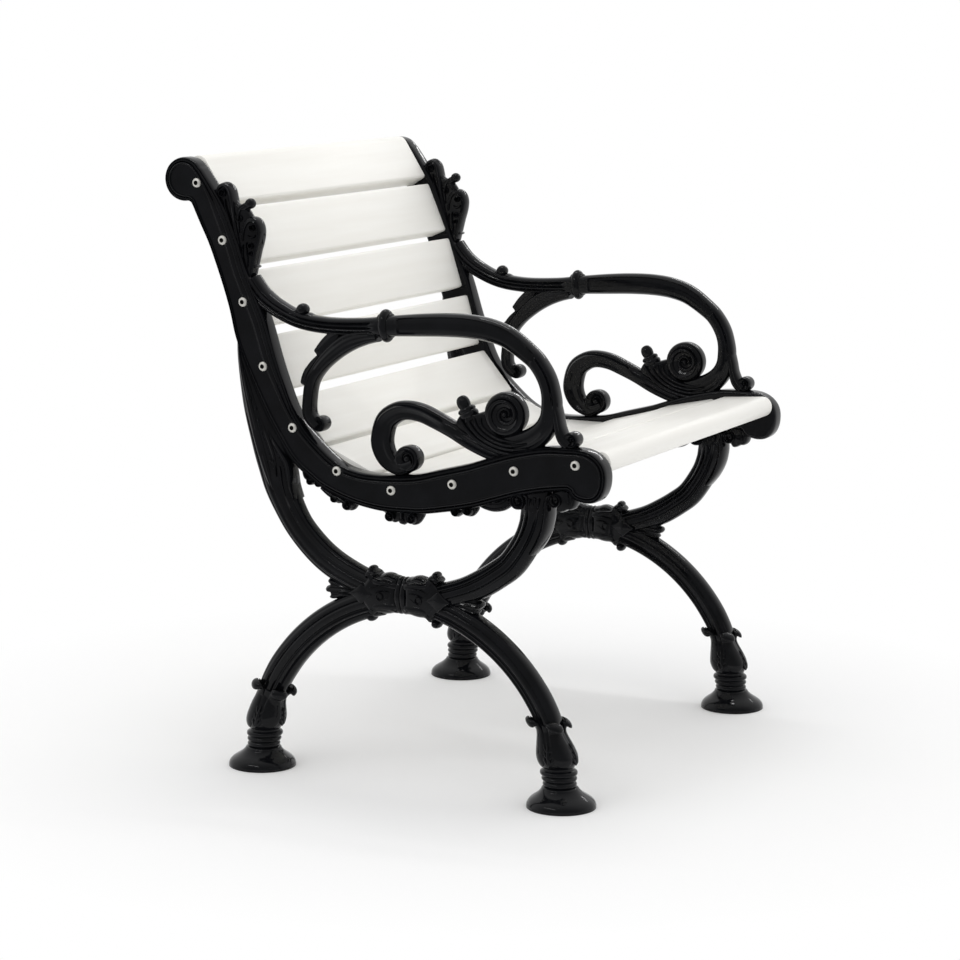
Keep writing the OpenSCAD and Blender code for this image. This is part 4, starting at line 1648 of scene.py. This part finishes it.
class NodeBoard:
    """Lays out the nodes of a material or of the surroundings."""

    def __init__(self, owner: NodeOwner) -> None:
        """Starts with no nodes.

        Args:
            owner: the material or the surroundings.
        """
        self.owner = owner
        owner.use_nodes = True
        self.tree = owner.node_tree
        self.tree.nodes.clear()
        self.column = 0

    def node(self, kind: str, inputs: Optional[Inputs] = None, **settings: object) -> bpy.types.Node:
        """Adds a node.

        Args:
            kind: its type name.
            inputs: what goes into its inputs, by name or number: a socket that is joined, or a value.
            settings: its own settings.

        Returns:
            The node.
        """
        made = self.tree.nodes.new(kind)
        made.location = (self.column * 180, 0)
        self.column += 1
        for key, value in settings.items():
            setattr(made, key, value)
        for key, value in (inputs or {}).items():
            if isinstance(value, Socket):
                self.tree.links.new(value, made.inputs[key])
            else:
                made.inputs[key].default_value = value
        return made

    def work_out(self, operation: str, *terms: object) -> Socket:
        """Works out a number from sockets and plain numbers."""
        return self.node("ShaderNodeMath", dict(enumerate(terms)), operation=operation).outputs[0]

    def ramp(self, number: Socket, start: Point, end: Point) -> Socket:
        """Maps a number from one range to another.

        Args:
            number: the number's socket.
            start: the range that it comes from.
            end: the range that it goes to.

        Returns:
            The mapped number's socket.
        """
        return self.node("ShaderNodeMapRange", {
            "Value": number, "From Min": start[0], "From Max": start[1], "To Min": end[0], "To Max": end[1],
        }).outputs["Result"]

    def mix(self, share: Socket, first: Row, second: Row) -> Socket:
        """Mixes two colours by the share of the second."""
        colours = {0: share, 6: (*first, 1.0), 7: (*second, 1.0)}
        return self.node("ShaderNodeMix", colours, data_type="RGBA").outputs[2]

    def noise(self, scale: float, detail: float, stretch: Row = (1, 1, 1)) -> Socket:
        """Adds noise in the piece's own coordinates.

        Args:
            scale: its scale in cycles a metre.
            detail: how fine it gets.
            stretch: how much each axis is scaled.

        Returns:
            The noise's socket.
        """
        place = self.node("ShaderNodeTexCoord").outputs["Object"]
        vector = self.node("ShaderNodeMapping", {"Vector": place, "Scale": tuple(stretch)}).outputs["Vector"]
        return self.node("ShaderNodeTexNoise", {
            "Vector": vector, "Scale": scale, "Detail": detail, "Roughness": 0.55,
        }).outputs["Fac"]

    def bump(self, height: Socket, distance: float, strength: float) -> Socket:
        """Adds a bump of a full step's height in metres."""
        inputs = {"Height": height, "Distance": distance, "Strength": strength}
        return self.node("ShaderNodeBump", inputs).outputs["Normal"]

    def towards(self, place: Socket, way: Row) -> Socket:
        """Measures how far a place lies along a direction."""
        return self.node("ShaderNodeVectorMath", {0: place, 1: way}, operation="DOT_PRODUCT").outputs["Value"]

    def principled(self, inputs: Inputs) -> bpy.types.Material:
        """Finishes a material with a surface of those inputs."""
        return self.finish(self.node("ShaderNodeBsdfPrincipled", inputs).outputs["BSDF"])

    def finish(self, shader: Socket, kind: str = "ShaderNodeOutputMaterial") -> NodeOwner:
        """Joins a shader to the output, and gives what the nodes belong to."""
        self.node(kind, {"Surface": shader})
        return self.owner


@dataclass(frozen=True)
class CastingPaint:
    """Gloss black paint on cast metal."""

    dark: Tuple[float, float, float] = (0.0022, 0.0024, 0.003)
    light: Tuple[float, float, float] = (0.004, 0.0043, 0.0054)
    specular: float = 0.18
    rough: Point = (0.06, 0.12)

    def material(self) -> bpy.types.Material:
        """Builds the material.

        Returns:
            The material.
        """
        board = NodeBoard(bpy.data.materials.new("gloss_black_paint"))
        cloud, grain, swell = board.noise(26.0, 4.0), board.noise(900.0, 3.0), board.noise(120.0, 2.0)
        return board.principled({
            "Base Color": board.mix(board.ramp(cloud, (0.35, 0.65), (0.0, 1.0)), self.dark, self.light),
            "Roughness": board.ramp(cloud, (0.3, 0.7), self.rough),
            "Normal": board.bump(board.work_out("MULTIPLY_ADD", grain, 0.2, swell), 0.0005, 0.13),
            "Specular IOR Level": self.specular, "IOR": 1.5,
        })


@dataclass(frozen=True)
class SlatPaint:
    """Off-white paint on planed softwood, with a faint grain along the slat."""

    dark: Tuple[float, float, float] = (0.90, 0.885, 0.84)
    light: Tuple[float, float, float] = (0.93, 0.92, 0.88)
    specular: float = 0.22
    rough: Point = (0.34, 0.46)

    def material(self) -> bpy.types.Material:
        """Builds the material.

        Returns:
            The material.
        """
        board = NodeBoard(bpy.data.materials.new("off_white_slat_paint"))
        grain, fine = board.noise(60.0, 5.0, (0.06, 1.0, 1.0)), board.noise(420.0, 4.0, (0.05, 1.0, 1.0))
        return board.principled({
            "Base Color": board.mix(board.ramp(grain, (0.35, 0.65), (0.0, 1.0)), self.dark, self.light),
            "Roughness": board.ramp(fine, (0.3, 0.7), self.rough),
            "Normal": board.bump(board.work_out("MULTIPLY_ADD", fine, 0.5, grain), 0.0004, 0.3),
            "Specular IOR Level": self.specular, "IOR": 1.48,
        })


@dataclass(frozen=True)
class BareMetal:
    """Bare metal with fine turning marks, also used near-black as painted shade inside the screws' sockets.
    """

    name: str
    dark: Tuple[float, float, float]
    light: Tuple[float, float, float]
    rough: Point = (0.28, 0.42)
    metallic: float = 1.0

    def material(self) -> bpy.types.Material:
        """Builds the material.

        Returns:
            The material.
        """
        board = NodeBoard(bpy.data.materials.new(self.name))
        cloud, marks = board.noise(300.0, 3.0), board.noise(2600.0, 2.0)
        return board.principled({
            "Base Color": board.mix(cloud, self.dark, self.light), "Metallic": self.metallic,
            "Roughness": board.ramp(marks, (0.3, 0.7), self.rough), "Normal": board.bump(marks, 0.0001, 0.2),
        })


@dataclass
class Studio:
    """The pale floor, the lamps, the sky and the camera."""

    reach: float = 30.0
    lens: float = 110.49
    azimuth: float = -63.683
    elevation: float = 9.677
    roll: float = 0.383
    shift_right: float = -0.03733
    shift_up: float = 0.35613
    distance: float = 4.12551
    towards_camera: Tuple[float, float, float] = (-0.896, -0.443, 0.0)
    dim: float = 0.36
    ambient: float = 0.92
    floor_grey: float = 0.92
    floor_fade: Point = (0.38, 0.9)
    # each soft box: name, place, height that it points at, width and height in metres, watts
    boxes: Tuple = (
        ("overhead_box", (0.6, 0.1, 2.6), 0.3, (0.9, 0.1), 5.5),
        ("far_side_box", (2.5, -0.15, 1.75), 0.6, (1.4, 0.05), 3.5),
        ("near_side_strip", (-1.9, 0.55, 2.2), 0.5, (1.6, 0.06), 6.0),
    )

    def make(self) -> None:
        """Builds the whole studio."""
        self.floor()
        self.lamps()
        self.sky()
        self.camera()
        bpy.context.scene.view_settings.view_transform = "Standard"

    def floor(self) -> None:
        """Lays the floor, which fades to plain white for the camera far from the chair."""
        bm = bmesh.new()
        bmesh.ops.create_grid(bm, x_segments=4, y_segments=4, size=self.reach)
        mesh = bpy.data.meshes.new("studio_floor")
        bm.to_mesh(mesh)
        bm.free()
        floor = bpy.data.objects.new("studio_floor", mesh)
        bpy.context.scene.collection.objects.link(floor)
        board = NodeBoard(bpy.data.materials.new("white_studio_floor"))
        place = board.node("ShaderNodeTexCoord").outputs["Object"]
        path = board.node("ShaderNodeLightPath").outputs
        length = board.node("ShaderNodeVectorMath", {0: place}, operation="LENGTH").outputs["Value"]
        far = board.ramp(length, self.floor_fade, (0.0, 1.0))
        seen = board.work_out("MAXIMUM", path["Is Camera Ray"], path["Is Glossy Ray"])
        seen = board.work_out("MAXIMUM", seen, path["Is Transmission Ray"])
        share = board.work_out("MULTIPLY", seen, far)
        glossy = board.ramp(board.towards(place, self.towards_camera), (0.2, 1.4), (1.0, self.dim))
        level = board.work_out("MAXIMUM", glossy, path["Is Camera Ray"])
        matt = board.node("ShaderNodeBsdfDiffuse", {"Color": (*(self.floor_grey,) * 3, 1.0)}).outputs[0]
        glow = board.node("ShaderNodeEmission", {"Color": (1.0, 1.0, 1.0, 1.0), "Strength": level}).outputs[0]
        both = board.node("ShaderNodeMixShader", {0: share, 1: matt, 2: glow}).outputs[0]
        mesh.materials.append(board.finish(both))

    def lamps(self) -> None:
        """Hangs the soft boxes over the chair."""
        for name, place, target, size, power in self.boxes:
            data = bpy.data.lights.new(name, "AREA")
            data.shape = "RECTANGLE"
            data.size, data.size_y = size
            data.energy = power
            lamp = bpy.data.objects.new(name, data)
            lamp.location = place
            way = Vector((0.0, 0.0, target)) - Vector(place)
            lamp.rotation_euler = way.to_track_quat("-Z", "Y").to_euler()
            bpy.context.scene.collection.objects.link(lamp)

    def sky(self) -> None:
        """Makes the surroundings: white to the camera, softer as a light."""
        world = bpy.data.worlds.new("studio_surroundings")
        bpy.context.scene.world = world
        board = NodeBoard(world)
        place = board.node("ShaderNodeTexCoord").outputs["Generated"]
        path = board.node("ShaderNodeLightPath").outputs
        mirrored = board.ramp(board.towards(place, self.towards_camera), (-0.1, 0.7), (1.0, self.dim))
        seen = board.work_out("MAXIMUM", path["Is Glossy Ray"], path["Is Transmission Ray"])
        strength = board.node("ShaderNodeMix", {0: seen, 2: self.ambient, 3: mirrored}).outputs[0]
        level = board.work_out("MAXIMUM", strength, path["Is Camera Ray"])
        glow = board.node("ShaderNodeBackground", {"Color": (1.0, 1.0, 1.0, 1.0), "Strength": level})
        board.finish(glow.outputs["Background"], "ShaderNodeOutputWorld")

    def camera(self) -> None:
        """Places the camera where the photograph was taken."""
        a, e, c = (math.radians(v) for v in (self.azimuth, self.elevation, self.roll))
        back = Vector((math.sin(a) * math.cos(e), -math.cos(a) * math.cos(e), math.sin(e)))
        way = -back
        right = way.cross(Vector((0, 0, 1))).normalized()
        up = right.cross(way)
        rolled = math.cos(c) * right + math.sin(c) * up
        top = -math.sin(c) * right + math.cos(c) * up
        place = self.shift_right * rolled + self.shift_up * top - self.distance * way
        place.y += MID_FORWARD * MM
        data = bpy.data.cameras.new("studio_camera")
        data.lens = self.lens
        data.sensor_width = 36.0
        data.clip_end = 200.0
        camera = bpy.data.objects.new("studio_camera", data)
        camera.matrix_world = Matrix((
            (rolled.x, top.x, back.x, place.x),
            (rolled.y, top.y, back.y, place.y),
            (rolled.z, top.z, back.z, place.z),
            (0.0, 0.0, 0.0, 1.0),
        ))
        bpy.context.scene.collection.objects.link(camera)
        bpy.context.scene.camera = camera


def dress_inserts(finish: bpy.types.Material) -> None:
    """Gives the threaded inserts in the slat ends their brass.

    Args:
        finish: the brass material.
    """
    for side in Side:
        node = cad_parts[f"{side.value}_threaded_inserts"]
        node.data.materials.clear()
        node.data.materials.append(finish)
        LOG.info("%s: brass", node.name)


def main() -> None:
    """Builds the armchair's pieces in order, then the studio."""
    steel = BareMetal("stainless_steel", (0.62, 0.61, 0.57), (0.74, 0.73, 0.69), (0.4, 0.55), 0.7)
    # painted shade: a near-black metal for the faces inside the screws' hexagon sockets
    socket = BareMetal("socket_shadow", (0.012, 0.012, 0.011), (0.03, 0.029, 0.026), (0.5, 0.7))
    finishes = {
        Finish.CASTING: CastingPaint().material(),
        Finish.WOOD: SlatPaint().material(),
        Finish.STEEL: steel.material(),
        Finish.BRASS: BareMetal("turned_brass", (0.62, 0.46, 0.20), (0.76, 0.59, 0.30)).material(),
    }
    shop = Workshop(finishes, socket.material())
    for part in (SlatRail(), ArmAndScrolls(), Legs(), Knot(), Feet(), LeafWork()):
        part.make(shop)
    Slats().make(shop)
    Screws().make(shop)
    dress_inserts(finishes[Finish.BRASS])
    Studio().make()


if __name__ == "__main__":
    logging.basicConfig(level=logging.INFO, format="%(name)s %(message)s")
    main()
